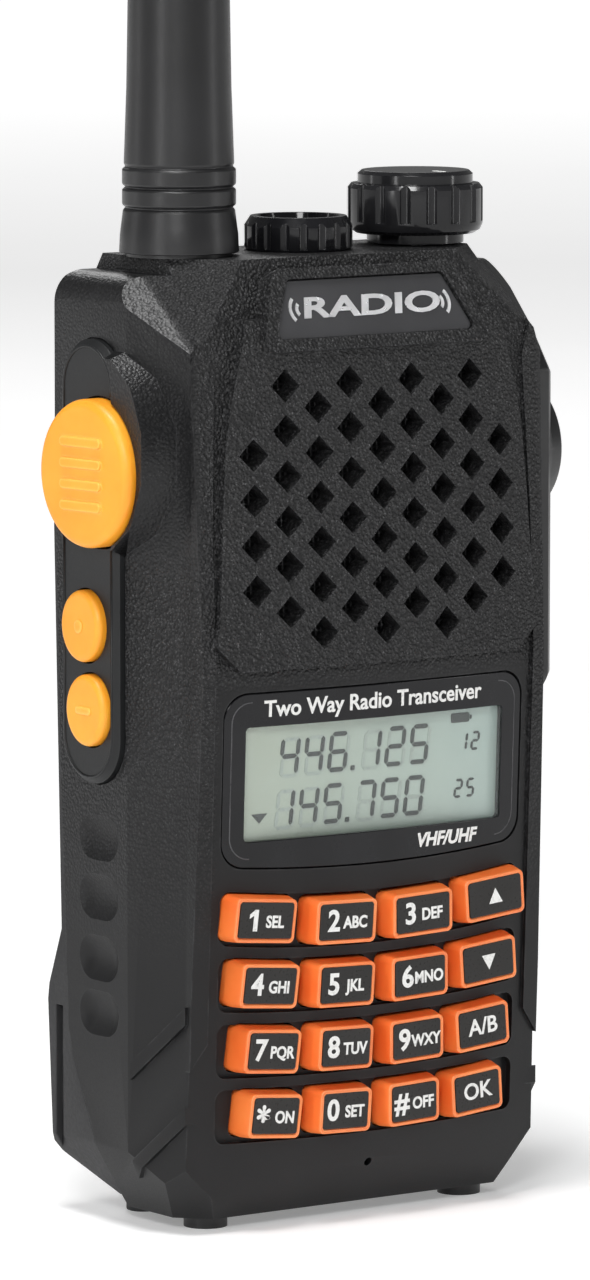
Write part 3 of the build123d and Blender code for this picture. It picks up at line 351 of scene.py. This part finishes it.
def make_materials():
    """One finished material for each slot of the record."""
    return {
        "casing_plastic": casing_material(),
        "battery_plastic": plastic("battery_moulding", (0.022, 0.022, 0.023), 0.56, 1900, 0.00007, 0.45),
        "trim_plastic": plastic("trim_moulding", (0.007, 0.0075, 0.008), 0.42, 4200, 0.000008, 0.3),
        "badge_plastic": plastic("badge_moulding", (0.03, 0.03, 0.032), 0.42, 2600, 0.00004, 0.3),
        "gloss_black": gloss("polished_black", (0.006, 0.006, 0.007)),
        "clear_window": glass_material("clear_window", (0.85, 0.9, 0.88), 0.05, 0.05),
        "lcd": lcd_material(),
        "key_rubber": rubber("key_rubber", (1.0, 0.24, 0.05), (0.85, 0.14, 0.02), 0.4, 0.2),
        "orange_rubber": rubber("orange_rubber", (1.0, 0.42, 0.03), (0.96, 0.34, 0.014), 0.42, 0.2),
        "black_rubber": rubber("black_rubber", (0.012, 0.012, 0.013), (0.007, 0.007, 0.0075), 0.36),
        "mat_silicone": rubber("mat_silicone", (0.2, 0.2, 0.2), (0.15, 0.15, 0.15), 0.6),
        "dome_film": plastic("dome_film", (0.5, 0.5, 0.45), 0.3),
        "board": board_material(),
        "shield_metal": metal("shield_tin", (0.55, 0.55, 0.56), 0.34, (1, 1, 0.1)),
        "speaker_body": plastic("speaker_body", (0.03, 0.03, 0.03), 0.6, 900, 0.00005),
        "cast_metal": cast_material(),
        "brass_metal": metal("gold_plate", (0.9, 0.64, 0.25), 0.25, (1, 1, 0.2), 0.3),
        "steel": metal("plated_steel", (0.4, 0.4, 0.41), 0.3, (0.15, 1, 1)),
        "clip_plastic": plastic("clip_moulding", (0.02, 0.02, 0.021), 0.48, 2200, 0.00004, 0.5),
        "jack_plastic": plastic("jack_moulding", (0.03, 0.03, 0.03), 0.5),
        "cell_wrap": plastic("cell_wrap", (0.06, 0.18, 0.4), 0.35),
        "led": plastic("led_resin", (0.85, 0.83, 0.6), 0.12, coat=0.6),
    }


# =====================================================================
# Geometry helpers
# =====================================================================
def face_point(x, z, lift=0.0):
    """A point on the crowned lower face, in metres, from millimetres across and up, lifted outwards."""
    y = FACE_Y + FACE_LEAN * z + x * x / (2 * CROWN_RADIUS) - lift
    return Vector((x, y, z)) * MM


def add_mesh(name, bm, material, body, smooth=True):
    """Turns a bmesh into a piece that rides on a body."""
    mesh = bpy.data.meshes.new(name)
    bmesh.ops.recalc_face_normals(bm, faces=bm.faces)
    bm.to_mesh(mesh)
    bm.free()
    for polygon in mesh.polygons:
        polygon.use_smooth = smooth
    piece = bpy.data.objects.new(name, mesh)
    bpy.context.scene.collection.objects.link(piece)
    piece.data.materials.append(material)
    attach(piece, body)
    return piece


def round_edges(piece, width, segments=2, angle=32):
    """Weld, merge flat facets and bevel the sharp edges, as modifiers."""
    if piece.data.attributes.get("custom_normal"):
        piece.data.attributes.remove(piece.data.attributes["custom_normal"])
    piece.data.shade_smooth()
    weld = piece.modifiers.new("weld", "WELD")
    weld.merge_threshold = 0.000004
    flat = piece.modifiers.new("merge_flats", "DECIMATE")
    flat.decimate_type = "DISSOLVE"
    flat.angle_limit = math.radians(0.6)
    bevel = piece.modifiers.new("edges", "BEVEL")
    bevel.width = width
    bevel.segments = segments
    bevel.limit_method = "ANGLE"
    bevel.angle_limit = math.radians(angle)
    bevel.harden_normals = True
    bevel.miter_outer = "MITER_ARC"


def prism(bm, outline, plane, depth):
    """Adds a closed prism: outline points in the plane's own x and y, thick along its normal."""
    low = [bm.verts.new(plane @ Vector((x, y, 0.0))) for x, y in outline]
    high = [bm.verts.new(plane @ Vector((x, y, depth))) for x, y in outline]
    bm.faces.new(low[::-1])
    bm.faces.new(high)
    count = len(outline)
    for i in range(count):
        j = (i + 1) % count
        bm.faces.new((low[i], low[j], high[j], high[i]))


def plane_at(origin, normal, turn=0.0):
    """A frame with local z along normal and local y as near up as it can be, turned about the normal."""
    z = Vector(normal).normalized()
    x = Vector((0, 0, 1)).cross(z).normalized()
    y = z.cross(x)
    rotation = Matrix((x, y, z)).transposed()
    return Matrix.Translation(origin) @ rotation.to_4x4() @ Matrix.Rotation(turn, 4, "Z")


def rounded_rectangle(width, height, radius, steps=5):
    """Outline of a rounded rectangle about the origin."""
    points = []
    for cx, cy, start in ((1, 1, 0), (-1, 1, 90), (-1, -1, 180), (1, -1, 270)):
        for step in range(steps + 1):
            angle = math.radians(start + 90 * step / steps)
            x = cx * (width / 2 - radius) + radius * math.cos(angle)
            y = cy * (height / 2 - radius) + radius * math.sin(angle)
            points.append((x, y))
    return points


def lettering(
    name, words, size, plane, material, body,
    depth=INK_THICKNESS, shear=0.0, squeeze=1.0, bold=0.0,
):
    """Raised printed characters, as mesh, centred on the plane."""
    curve = bpy.data.curves.new(name, "FONT")
    curve.body = words
    curve.size = size
    curve.align_x = "CENTER"
    curve.align_y = "CENTER"
    curve.extrude = depth / 2
    curve.offset = bold
    curve.shear = shear
    curve.resolution_u = 4
    text = bpy.data.objects.new(name + "_text", curve)
    bpy.context.scene.collection.objects.link(text)
    bpy.context.view_layer.update()
    evaluated = text.evaluated_get(bpy.context.evaluated_depsgraph_get())
    mesh = bpy.data.meshes.new_from_object(evaluated)
    bpy.data.objects.remove(text)
    mesh.transform(Matrix.Diagonal((squeeze, 1, 1, 1)))
    mesh.transform(plane)
    mesh.materials.clear()
    piece = bpy.data.objects.new(name, mesh)
    bpy.context.scene.collection.objects.link(piece)
    mesh.materials.append(material)
    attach(piece, body)
    return piece


# =====================================================================
# Keypad
# =====================================================================
KEY_LEGENDS = (
    (("key_1", "1", "SEL"), ("key_2", "2", "ABC"), ("key_3", "3", "DEF"), ("key_up", "UP", "")),
    (("key_4", "4", "GHI"), ("key_5", "5", "JKL"), ("key_6", "6", "MNO"), ("key_down", "DOWN", "")),
    (("key_7", "7", "PQR"), ("key_8", "8", "TUV"), ("key_9", "9", "WXY"), ("key_mode", "A/B", "")),
    (("key_star", "*", "ON"), ("key_0", "0", "SET"), ("key_hash", "#", "OFF"), ("key_menu", "OK", "")),
)


# The outline of the figure 1, as shares of the letter size.
FIGURE_ONE = (
    (0.0, -0.36),
    (0.17, -0.36),
    (0.17, 0.36),
    (0.04, 0.36),
    (-0.17, 0.2),
    (-0.17, 0.06),
    (0.0, 0.17),
)


def key_plane(node, column, lift):
    """Frame on top of a key: local x across, y up, z out of the face."""
    low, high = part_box(node)
    x = (low[0] + high[0]) / 2
    z = (low[2] + high[2]) / 2 - FLANGE_RISE * MM
    drop = x * x / (2 * CROWN_RADIUS * MM)
    y = FACE_Y * MM + FACE_LEAN * z + drop - lift * MM
    tilt = math.copysign(OUTER_TILT if column in (0, 3) else INNER_TILT, column - 1.5)
    return plane_at(Vector((x, y, z)), (0, -1, FACE_LEAN), math.radians(tilt))


def arrow(bm, plane, up):
    """A solid triangle."""
    tip = 1.0 if up else -1.0
    outline = [(-0.00095, -0.0008 * tip), (0.00095, -0.0008 * tip), (0.0, 0.00095 * tip)]
    if not up:
        outline.reverse()
    prism(bm, outline, plane, INK_THICKNESS)


def build_keys(inlay, ink):
    """The black legend plate of each key, and its white legend."""
    for row, names in enumerate(KEY_LEGENDS):
        for column, (node, main, small) in enumerate(names):
            seat = key_plane(node, column, KEY_PROUD - SEAT_DEPTH)
            bm = bmesh.new()
            outline = rounded_rectangle(SEAT_WIDTHS[row] * MM, SEAT_HEIGHT * MM, 0.00035)
            prism(bm, outline, seat, 0.00028)
            plate = add_mesh(node + "_plate", bm, inlay, node, smooth=False)
            bevel = plate.modifiers.new("edge", "BEVEL")
            bevel.width = 0.00006
            bevel.segments = 2
            bevel.limit_method = "ANGLE"
            top = seat @ Matrix.Translation((0, 0, 0.00029))
            if main in ("UP", "DOWN"):
                bm = bmesh.new()
                arrow(bm, top, main == "UP")
                add_mesh(node + "_legend", bm, ink, node, smooth=False)
            elif small:
                left = top @ Matrix.Translation((-0.0018, 0, 0))
                right = top @ Matrix.Translation((0.0012, -0.0002, 0))
                size = 0.0034
                if main == "*":
                    left = left @ Matrix.Translation((0, -0.0006, 0))
                    size = 0.0042
                if main == "1":
                    bm = bmesh.new()
                    prism(bm, [(x * size, y * size) for x, y in FIGURE_ONE], left, INK_THICKNESS)
                    add_mesh(node + "_digit", bm, ink, node, smooth=False)
                else:
                    lettering(node + "_digit", main, size, left, ink, node, bold=0.00009)
                lettering(
                    node + "_letters", small, 0.0019, right, ink, node,
                    bold=0.00006, squeeze=0.9,
                )
            else:
                lettering(node + "_legend", main, 0.0027, top, ink, node, bold=0.00005)


# =====================================================================
# Display
# =====================================================================
SEGMENTS = {
    "0": "abcdef", "1": "bc", "2": "abged", "3": "abgcd", "4": "fgbc", "5": "afgcd",
    "6": "afgedc", "7": "abc", "8": "abcdefg", "9": "abcdfg",
}


# Width, height, stroke and pitch of the digits.
LARGE_DIGIT = (0.0027, 0.0046, 0.00052, 0.0034)
GHOST_DIGIT = (0.0027, 0.0046, 0.00046, 0.0034)
SMALL_DIGIT = (0.0012, 0.0022, 0.0003, 0.0017)
DIGITS_LEFT = -0.0128
SMALL_DIGITS_LEFT = 0.0125
UPPER_ROW = 0.0004
LOWER_ROW = -0.0055
ROW_POINTER = [(-0.0163, -0.0036), (-0.0152, -0.0047), (-0.0141, -0.0036)]
CELL_SIGN = (0.0026, 0.0011, 0.0002)
CELL_TIP = (0.0003, 0.0005, 0.0001)


def segment_outline(letter, width, height, thick):
    """A hexagonal bar of a seven segment digit, with the digit's lower left corner at the origin."""
    half = thick / 2
    gap = thick * 0.12
    mid = height / 2
    level = {"a": height - half, "g": mid, "d": half}
    if letter in level:
        y = level[letter]
        left = half + gap
        right = width - half - gap
        return [
            (left, y),
            (left + half, y - half),
            (right - half, y - half),
            (right, y),
            (right - half, y + half),
            (left + half, y + half),
        ]
    x = half if letter in "fe" else width - half
    low, high = (mid, height - half) if letter in "fb" else (half, mid)
    low += gap
    high -= gap
    return [
        (x, low),
        (x + half, low + half),
        (x + half, high - half),
        (x, high),
        (x - half, high - half),
        (x - half, low + half),
    ]


def draw_number(bm, text, plane, x, y, width, height, thick, pitch):
    """Seven segment digits in a row, dots between them."""
    for character in text:
        if character == ".":
            outline = rounded_rectangle(thick * 1.1, thick * 1.1, thick * 0.2, 2)
            shift = Matrix.Translation((x + thick * 0.4, y + thick * 0.55, 0))
            prism(bm, outline, plane @ shift, SEGMENT_THICKNESS)
            x += pitch * 0.36
            continue
        for letter in SEGMENTS[character]:
            outline = segment_outline(letter, width, height, thick)
            if sum(a[0] * b[1] - b[0] * a[1] for a, b in zip(outline, outline[1:] + outline[:1])) < 0:
                outline.reverse()
            prism(bm, outline, plane @ Matrix.Translation((x, y, 0)), SEGMENT_THICKNESS)
        x += pitch


def build_display(dark, faint, ink):
    """Two rows of digits and small signs on the liquid crystal, printed lines on the surround."""
    centre_z = (WINDOW[1] + WINDOW[3]) / 2
    front = Vector((0, FACE_Y + FACE_LEAN * centre_z + 2.1 - 0.03, centre_z)) * MM
    plane = plane_at(front, (0, -1, FACE_LEAN))
    slant = Matrix.Identity(4)
    slant[0][1] = 0.1
    page = plane @ slant
    bm = bmesh.new()
    draw_number(bm, "446.125", page, DIGITS_LEFT, UPPER_ROW, *LARGE_DIGIT)
    draw_number(bm, "145.750", page, DIGITS_LEFT, LOWER_ROW, *LARGE_DIGIT)
    draw_number(bm, "12", page, SMALL_DIGITS_LEFT, 0.0014, *SMALL_DIGIT)
    draw_number(bm, "25", page, SMALL_DIGITS_LEFT, -0.0040, *SMALL_DIGIT)
    prism(bm, ROW_POINTER, plane, SEGMENT_THICKNESS)
    for outline, x in ((CELL_SIGN, 0.0128), (CELL_TIP, 0.0143)):
        spot = plane @ Matrix.Translation((x, 0.0053, 0))
        prism(bm, rounded_rectangle(*outline, 2), spot, SEGMENT_THICKNESS)
    add_mesh("lcd_signs", bm, dark, "radio", smooth=False)
    ghost = bmesh.new()
    shadow = page @ Matrix.Translation((0.00022, -0.00018, -0.00003))
    draw_number(ghost, "888.888", shadow, DIGITS_LEFT, UPPER_ROW, *GHOST_DIGIT)
    draw_number(ghost, "888.888", shadow, DIGITS_LEFT, LOWER_ROW, *GHOST_DIGIT)
    add_mesh("lcd_ghosts", ghost, faint, "radio", smooth=False)
    title = plane_at(face_point(-0.6, 59.75, 0.06), (0, -1, FACE_LEAN))
    corner = plane_at(face_point(9.9, 43.1, 0.06), (0, -1, FACE_LEAN))
    printed = lettering(
        "title_print", "Two Way Radio Transceiver", 0.0026, title, ink, "radio",
        bold=0.00005,
    )
    wrap_on_face(printed, PRINT_LIFT)
    mark = lettering(
        "band_print", "VHF/UHF", 0.0022, corner, ink, "radio",
        bold=0.00007, shear=0.2,
    )
    wrap_on_face(mark, PRINT_LIFT)


def build_bezel_line(line):
    """A fine border line round the display surround, a little inside its edge, as a thin raised strip."""
    low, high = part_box("display_bezel")
    inset = 0.0009
    width = high[0] - low[0] - 2 * inset
    height = high[2] - low[2] - 2 * inset
    middle = (low[2] + high[2]) / 2
    outline = rounded_rectangle(width, height, 0.0024, 8)
    inner = rounded_rectangle(width - 0.0003, height - 0.0003, 0.00225, 8)
    dip = (high[2] - low[2]) * 0.045
    bm = bmesh.new()
    rings = []
    for points, raise_by in ((outline, 0.0), (outline, 0.05), (inner, 0.05), (inner, 0.0)):
        ring = []
        for x, y in points:
            if y < 0:
                y += dip * (2 * x / width) ** 2
            place = face_point(x / MM, (middle + y) / MM, -0.07 + raise_by)
            ring.append(bm.verts.new(place))
        rings.append(ring)
    bridge_rings(bm, rings, True)
    add_mesh("bezel_border", bm, line, "radio")


def bridge_rings(bm, rings, closed):
    """Faces between each ring and the next, and from the last back to the first when closed."""
    count = len(rings[0])
    pairs = list(zip(rings, rings[1:]))
    if closed:
        pairs.append((rings[-1], rings[0]))
    for first, second in pairs:
        for i in range(count):
            j = (i + 1) % count
            bm.faces.new((first[i], first[j], second[j], second[i]))


def wrap_on_face(piece, lift):
    """Bends a flat print so that it lies lift millimetres above the crowned face."""
    vertices = piece.data.vertices
    middle = sum(vertex.co.y - FACE_LEAN * vertex.co.z for vertex in vertices) / len(vertices)
    for vertex in vertices:
        thickness = vertex.co.y - FACE_LEAN * vertex.co.z - middle
        crown = vertex.co.x**2 / (2 * CROWN_RADIUS * MM)
        vertex.co.y = (FACE_Y - lift) * MM + FACE_LEAN * vertex.co.z + crown + thickness


# =====================================================================
# Small details on the outside
# =====================================================================
def tube(name, points, radius, material, body, closed=False, sides=8):
    """A round bead along a path of points."""
    bm = bmesh.new()
    rings = []
    count = len(points)
    for i, point in enumerate(points):
        before = points[i - 1] if closed or i > 0 else point
        after = points[(i + 1) % count] if closed or i < count - 1 else point
        forward = (after - before).normalized()
        side = forward.orthogonal() if abs(forward.x) > 0.95 else forward.cross(Vector((1, 0, 0)))
        side.normalize()
        lift = side.cross(forward).normalized()
        ring = []
        for step in range(sides):
            angle = 2 * math.pi * step / sides
            ring.append(bm.verts.new(point + radius * (math.cos(angle) * side + math.sin(angle) * lift)))
        rings.append(ring)
    bridge_rings(bm, rings, closed)
    if not closed:
        bm.faces.new(rings[0][::-1])
        bm.faces.new(rings[-1])
    return add_mesh(name, bm, material, body)


def build_trim_rim(material):
    """The thin raised bead along the edge of the side plate, broken where the large button covers it."""
    low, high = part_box("side_trim")
    button_low, button_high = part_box("ptt_button")
    button = (button_low + button_high) / 2
    reach = (button_high - button_low) / 2 * TRIM_RIM_CLEARANCE
    middle = (low[1] + high[1]) / 2
    half = (high[1] - low[1]) / 2 - TRIM_RIM_INSET
    x = low[0] + 0.00003
    for name, centre, start, side in (
        ("upper", high[2] - TRIM_RIM_INSET - half, 0, 1),
        ("lower", low[2] + TRIM_RIM_INSET + half, 180, -1),
    ):
        points = []
        for step in range(17):
            angle = math.radians(start + 180 * step / 16)
            points.append(Vector((x, middle + half * math.cos(angle), centre + half * math.sin(angle))))
        ends = []
        for y in (points[0].y, points[-1].y):
            rise = reach.z * math.sqrt(1 - ((y - button.y) / reach.y) ** 2)
            ends.append(Vector((x, y, button.z + side * rise)))
        tube("trim_rim_" + name, [ends[0], *points, ends[1]], 0.00019, material, "radio")


def arc_strip(bm, plane, radius, width, start, end, thick):
    """A flat curved bar, as one arc of a broadcast sign."""
    steps = 14
    outline = []
    for r, order in ((radius + width / 2, range(steps + 1)), (radius - width / 2, range(steps, -1, -1))):
        for step in order:
            angle = math.radians(start + (end - start) * step / steps)
            outline.append((r * math.cos(angle), r * math.sin(angle)))
    prism(bm, outline, plane, thick)


def build_emblem(silver):
    """A plain broadcast sign with the word radio, on the badge plate."""
    low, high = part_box("emblem_plate")
    slope = Vector((0, -13.1, 4.9)).normalized()
    centre = Vector((0, (low[1] + high[1]) / 2, (low[2] + high[2]) / 2)) + slope * 0.00018
    plane = plane_at(centre, slope)
    lettering(
        "emblem_word", "RADIO", 0.0033, plane, silver, "radio",
        depth=0.0002, shear=0.12, squeeze=1.9, bold=0.0001,
    )
    bm = bmesh.new()
    for side, start in ((-1, 135), (1, -45)):
        for radius in (0.0009, 0.0018):
            spot = plane @ Matrix.Translation((side * 0.0093, 0, 0))
            arc_strip(bm, spot, radius, 0.00042, start, start + 90, 0.0001)
    add_mesh("emblem_arcs", bm, silver, "radio", smooth=False)


def build_torch_reflector(chrome):
    """The bright bowl under the torch lens."""
    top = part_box("torch_lens")[0][2] - 0.0001
    profile = (
        (0.0026, -0.0035),
        (0.0031, -0.0022),
        (0.0035, -0.0010),
        (0.0038, 0.0),
        (0.00385, 0.0),
        (0.0027, -0.0036),
    )
    bm = bmesh.new()
    rings = []
    for radius, down in profile:
        ring = []
        for step in range(40):
            angle = 2 * math.pi * step / 40
            ring.append(bm.verts.new((radius * math.cos(angle), radius * math.sin(angle), top + down)))
        rings.append(ring)
    bridge_rings(bm, rings, True)
    add_mesh("torch_reflector", bm, chrome, "radio")


def rounded_bar(bm, plane, width, height, thick, radius):
    """A raised pad with rounded corners and a domed edge."""
    levels = ((0.0, 0.0), (0.65, 0.0), (0.9, 0.35), (1.0, 0.9))
    rings = []
    for rise, shrink in levels:
        pull = shrink * thick * 2
        outline = rounded_rectangle(width - pull, height - pull, max(radius - pull / 2, 0.00005), 4)
        rings.append([bm.verts.new(plane @ Vector((x, y, rise * thick))) for x, y in outline])
    bridge_rings(bm, rings, False)
    bm.faces.new(rings[0][::-1])
    bm.faces.new(rings[-1])


def build_battery_details(pad, plate, gold):
    """Grip ribs, a blank rating plate and the two charging pads on the battery's back."""
    ribs = bmesh.new()
    for step in range(6):
        height = 0.0098 + step * 0.0022
        rear = 0.0119 + (height - 0.0084) * 0.0559
        plane = plane_at(Vector((0, rear - 0.00005, height)), (0, 1, 0))
        rounded_bar(ribs, plane, 0.030, 0.0011, 0.0004, 0.0005)
    add_mesh("battery_grip_ribs", ribs, pad, "battery_pack")
    label = bmesh.new()
    slope = (0, 1, -0.0279)
    rounded_bar(label, plane_at(Vector((0, 0.01029, 0.0435)), slope), 0.038, 0.0145, 0.00018, 0.001)
    add_mesh("rating_plate", label, plate, "battery_pack")
    pads = bmesh.new()
    for side in (-1, 1):
        plane = plane_at(Vector((side * 0.0185, 0.01224, 0.0145)), (0, 1, -0.0559))
        rounded_bar(pads, plane, 0.0058, 0.0042, 0.00022, 0.0006)
    add_mesh("charging_pads", pads, gold, "battery_pack")


def build_latch_ribs(material):
    """Three finger ribs across the battery latch."""
    low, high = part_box("battery_latch")
    bm = bmesh.new()
    middle = (low[2] + high[2]) / 2
    for step in (-1, 0, 1):
        plane = plane_at(Vector((0, high[1] - 0.00005, middle + step * 0.0013)), (0, 1, 0))
        rounded_bar(bm, plane, 0.0084, 0.0006, 0.00035, 0.00028)
    add_mesh("latch_ribs", bm, material, "battery_latch")


def build_cover_details(material):
    """Pull tab and raised rings on the socket cover."""
    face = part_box("jack_cover")[1][0]
    bm = bmesh.new()
    for step in range(3):
        plane = plane_at(Vector((0.02925, -0.001, 0.0575 + step * 0.0024)), (1, 0, 0))
        rounded_bar(bm, plane, 0.008, 0.0009, 0.0004, 0.0004)
    add_mesh("cover_grip_ribs", bm, material, "jack_cover")
    rings = bmesh.new()
    hub = plane_at(Vector((face - 0.00004, -0.0009, 0.086)), (1, 0, 0))
    for radius in (0.0026, 0.0048):
        arc_strip(rings, hub, radius, 0.0006, 0, 359.9, 0.00022)
    add_mesh("cover_rings", rings, material, "jack_cover", smooth=False)


def build_side_key_marks(material):
    """A raised dot on the upper side key and a raised bar on the lower one."""
    for node, width, height in (("side_key_upper", 0.0016, 0.0016), ("side_key_lower", 0.003, 0.0009)):
        low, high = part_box(node)
        middle = Vector((low[0] + 0.00006, 0, (low[2] + high[2]) / 2))
        middle.y = {"side_key_upper": 0.0018, "side_key_lower": 0.0009}[node]
        bm = bmesh.new()
        radius = min(width, height) / 2 - 0.00001
        rounded_bar(bm, plane_at(middle, (-1, 0, 0)), width, height, 0.00022, radius)
        add_mesh(node + "_mark", bm, material, node)


def build_painted_recess_shade(dark):
    """Painted shade for the cross recess of each clip screw head: a thin dark cross laid on the head, not a
    cut recess.
    """
    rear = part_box("screws")[1][1]
    bm = bmesh.new()
    for side in (-1, 1):
        for turn in (0, math.pi / 2):
            plane = plane_at(Vector((side * 0.006, rear - 0.00002, 0.1016)), (0, 1, 0), turn + 0.4)
            # painted shade: a dark cross sheet stands in for the shade inside each recess
            prism(bm, rounded_rectangle(0.0021, 0.00045, 0.0001, 2), plane, 0.00004)
    add_mesh("screw_recess_painted_shade", bm, dark, "radio", smooth=False)


def build_knob_mark(white):
    """The pointer line on the rim of the volume knob's top."""
    low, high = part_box("volume_knob")
    middle = Vector(((low[0] + high[0]) / 2, -0.0046, high[2] - 0.00002))
    plane = Matrix.Translation(middle)
    bm = bmesh.new()
    prism(bm, rounded_rectangle(0.0007, 0.0022, 0.0003, 3), plane, 0.00005)
    add_mesh("knob_pointer", bm, white, "volume_control", smooth=False)


def build_clip_ribs(material):
    """Grip ribs on the thumb end of the belt clip."""
    bm = bmesh.new()
    for step in range(4):
        height = 0.0988 + step * 0.0014
        rear = 0.0167 - (height - 0.096) * 0.0814
        plane = plane_at(Vector((0, rear - 0.00008, height)), (0, 1, 0.081))
        rounded_bar(bm, plane, 0.0125, 0.00065, 0.0004, 0.0003)
    add_mesh("clip_grip_ribs", bm, material, "belt_clip")


# =====================================================================
# Scene
# =====================================================================
def build_floor():
    """A wide pale floor, level with the feet."""
    bm = bmesh.new()
    bmesh.ops.create_circle(bm, cap_ends=True, segments=96, radius=FLOOR_RADIUS)
    mesh = bpy.data.meshes.new("floor")
    bm.to_mesh(mesh)
    bm.free()
    floor = bpy.data.objects.new("floor", mesh)
    bpy.context.scene.collection.objects.link(floor)
    s = Shader("studio_paper")
    tone = s.mix(s.span(s.noise(9, 2.0, 0.5), 0.3, 0.7), (0.85, 0.85, 0.85), (0.88, 0.88, 0.88))
    distance = s.node("ShaderNodeVectorMath", operation="LENGTH")
    s.link(s.coords, distance.inputs[0])
    glow = s.span(distance.outputs["Value"], *FLOOR_GLOW_REACH, *FLOOR_GLOW)
    s.link(glow, s.bsdf.inputs["Emission Strength"])
    white = (1.0, 1.0, 1.0, 1.0)
    floor.data.materials.append(s.finish(tone, 0.8, None, Emission_Color=white))


def area_light(name, place, aim, size, power, colour=(1, 1, 1)):
    """A soft rectangular light."""
    data = bpy.data.lights.new(name, "AREA")
    data.shape = "RECTANGLE"
    data.size, data.size_y = size
    data.energy = power
    data.color = colour
    lamp = bpy.data.objects.new(name, data)
    lamp.location = place
    lamp.rotation_euler = (Vector(aim) - Vector(place)).to_track_quat("-Z", "Y").to_euler()
    bpy.context.scene.collection.objects.link(lamp)


def build_lights():
    """Soft studio light from the upper left, from above and behind, strips at the sides, a pale world."""
    area_light("key_light", (-0.7, -0.8, 0.62), (0, 0, 0.09), (0.3, 0.3), 5.4)
    area_light("top_light", (-0.2, -0.1, 1.05), (0, 0, 0.05), (0.3, 0.3), 7.0)
    area_light("left_strip", (-0.95, -0.25, 0.35), (0, 0, 0.1), (0.09, 0.9), 2.2)
    area_light("rear_strip", (-0.75, 0.75, 0.4), (0, 0, 0.08), (0.1, 0.8), 0.8)
    area_light("right_strip", (0.75, -0.75, 0.3), (0, 0, 0.1), (0.06, 0.7), 1.2)
    area_light("back_light", (0.5, 0.9, 0.7), (0, 0, 0.08), (0.5, 0.4), 2.6)
    world = bpy.data.worlds.new("studio")
    world.use_nodes = True
    tree = world.node_tree
    background = tree.nodes["Background"]
    background.inputs["Color"].default_value = (1.0, 1.0, 1.0, 1.0)
    path = tree.nodes.new("ShaderNodeLightPath")
    level = tree.nodes.new("ShaderNodeMapRange")
    level.inputs["To Min"].default_value = WORLD_LIGHT
    level.inputs["To Max"].default_value = WORLD_BACKGROUND
    tree.links.new(path.outputs["Is Camera Ray"], level.inputs["Value"])
    tree.links.new(level.outputs["Result"], background.inputs["Strength"])
    bpy.context.scene.world = world
    bpy.context.scene.view_settings.view_transform = "Standard"


def build_camera():
    """The camera at its viewing angle."""
    azimuth = math.radians(VIEW_AZIMUTH)
    elevation = math.radians(VIEW_ELEVATION)
    level = math.cos(elevation)
    back = Vector((-math.sin(azimuth) * level, -math.cos(azimuth) * level, math.sin(elevation)))
    place = VIEW_TARGET + back * VIEW_DISTANCE
    right = Vector((math.cos(azimuth), -math.sin(azimuth), 0))
    up = back.cross(right)
    aim = VIEW_TARGET + right * AIM_RIGHT + up * AIM_UP
    data = bpy.data.cameras.new("camera")
    data.lens = FOCAL_LENGTH
    data.sensor_width = 36.0
    data.clip_start = 0.01
    camera = bpy.data.objects.new("camera", data)
    camera.location = place
    camera.rotation_euler = (aim - place).to_track_quat("-Z", "Y").to_euler()
    bpy.context.scene.collection.objects.link(camera)
    bpy.context.scene.camera = camera


ROUNDING = {
    "front_casing": 0.00035,
    "battery_rear_shell": 0.0004,
    "side_trim": 0.0002,
    "jack_cover": 0.0005,
    "belt_clip": 0.0003,
    "volume_knob": 0.00018,
    "torch_bezel": 0.00015,
    "antenna_sleeve": 0.00015,
    "rear_chassis": 0.0003,
    "display_bezel": 0.00012,
    "ptt_button": 0.0001,
    "battery_latch": 0.0002,
    "belt_clip_bracket": 0.0002,
    "screws": 0.0001,
    "emblem_plate": 0.0001,
    "encoder_nut": 0.0001,
}

materials = make_materials()
special = {
    "speaker_mesh": mesh_material(),
    "volume_knob": gloss("polished_knob", (0.009, 0.009, 0.01)),
}
slots = {entry["node"]: entry["material_slot"] for entry in frame["record"]["subparts"]}
for node, cad in NODES.items():
    cad.data.materials.clear()
    cad.data.materials.append(special.get(node) or materials[slots[node]])
    width = ROUNDING.get(node, 0.00015 if node.startswith("key_") else 0.0)
    if width:
        round_edges(cad, width)

white_ink = ink_material("white_ink", (0.82, 0.82, 0.8))
dark_ink = ink_material("lcd_dark", (0.02, 0.028, 0.026))
faint_ink = ink_material("lcd_faint", (0.34, 0.4, 0.36))
key_inlay = plastic("key_inlay", (0.012, 0.011, 0.01), 0.3, 3000, 0.00001)

silver_ink = metal("silver_print", (0.8, 0.8, 0.81), 0.32, tarnish=0.2)
border_ink = plastic("border_line", (0.045, 0.045, 0.048), 0.3)
chrome = metal("reflector_chrome", (0.86, 0.86, 0.88), 0.12, tarnish=0.15)

build_keys(key_inlay, white_ink)
build_display(dark_ink, faint_ink, white_ink)
build_bezel_line(border_ink)
build_emblem(silver_ink)
build_trim_rim(materials["trim_plastic"])
build_torch_reflector(chrome)
build_battery_details(materials["battery_plastic"], materials["badge_plastic"], materials["brass_metal"])
build_latch_ribs(materials["trim_plastic"])
build_cover_details(materials["black_rubber"])
build_side_key_marks(materials["orange_rubber"])
# dark crosses on the screw heads, as painted shade in their recesses
build_painted_recess_shade(materials["black_rubber"])
build_knob_mark(white_ink)
build_clip_ribs(materials["clip_plastic"])
build_floor()
build_lights()
build_camera()
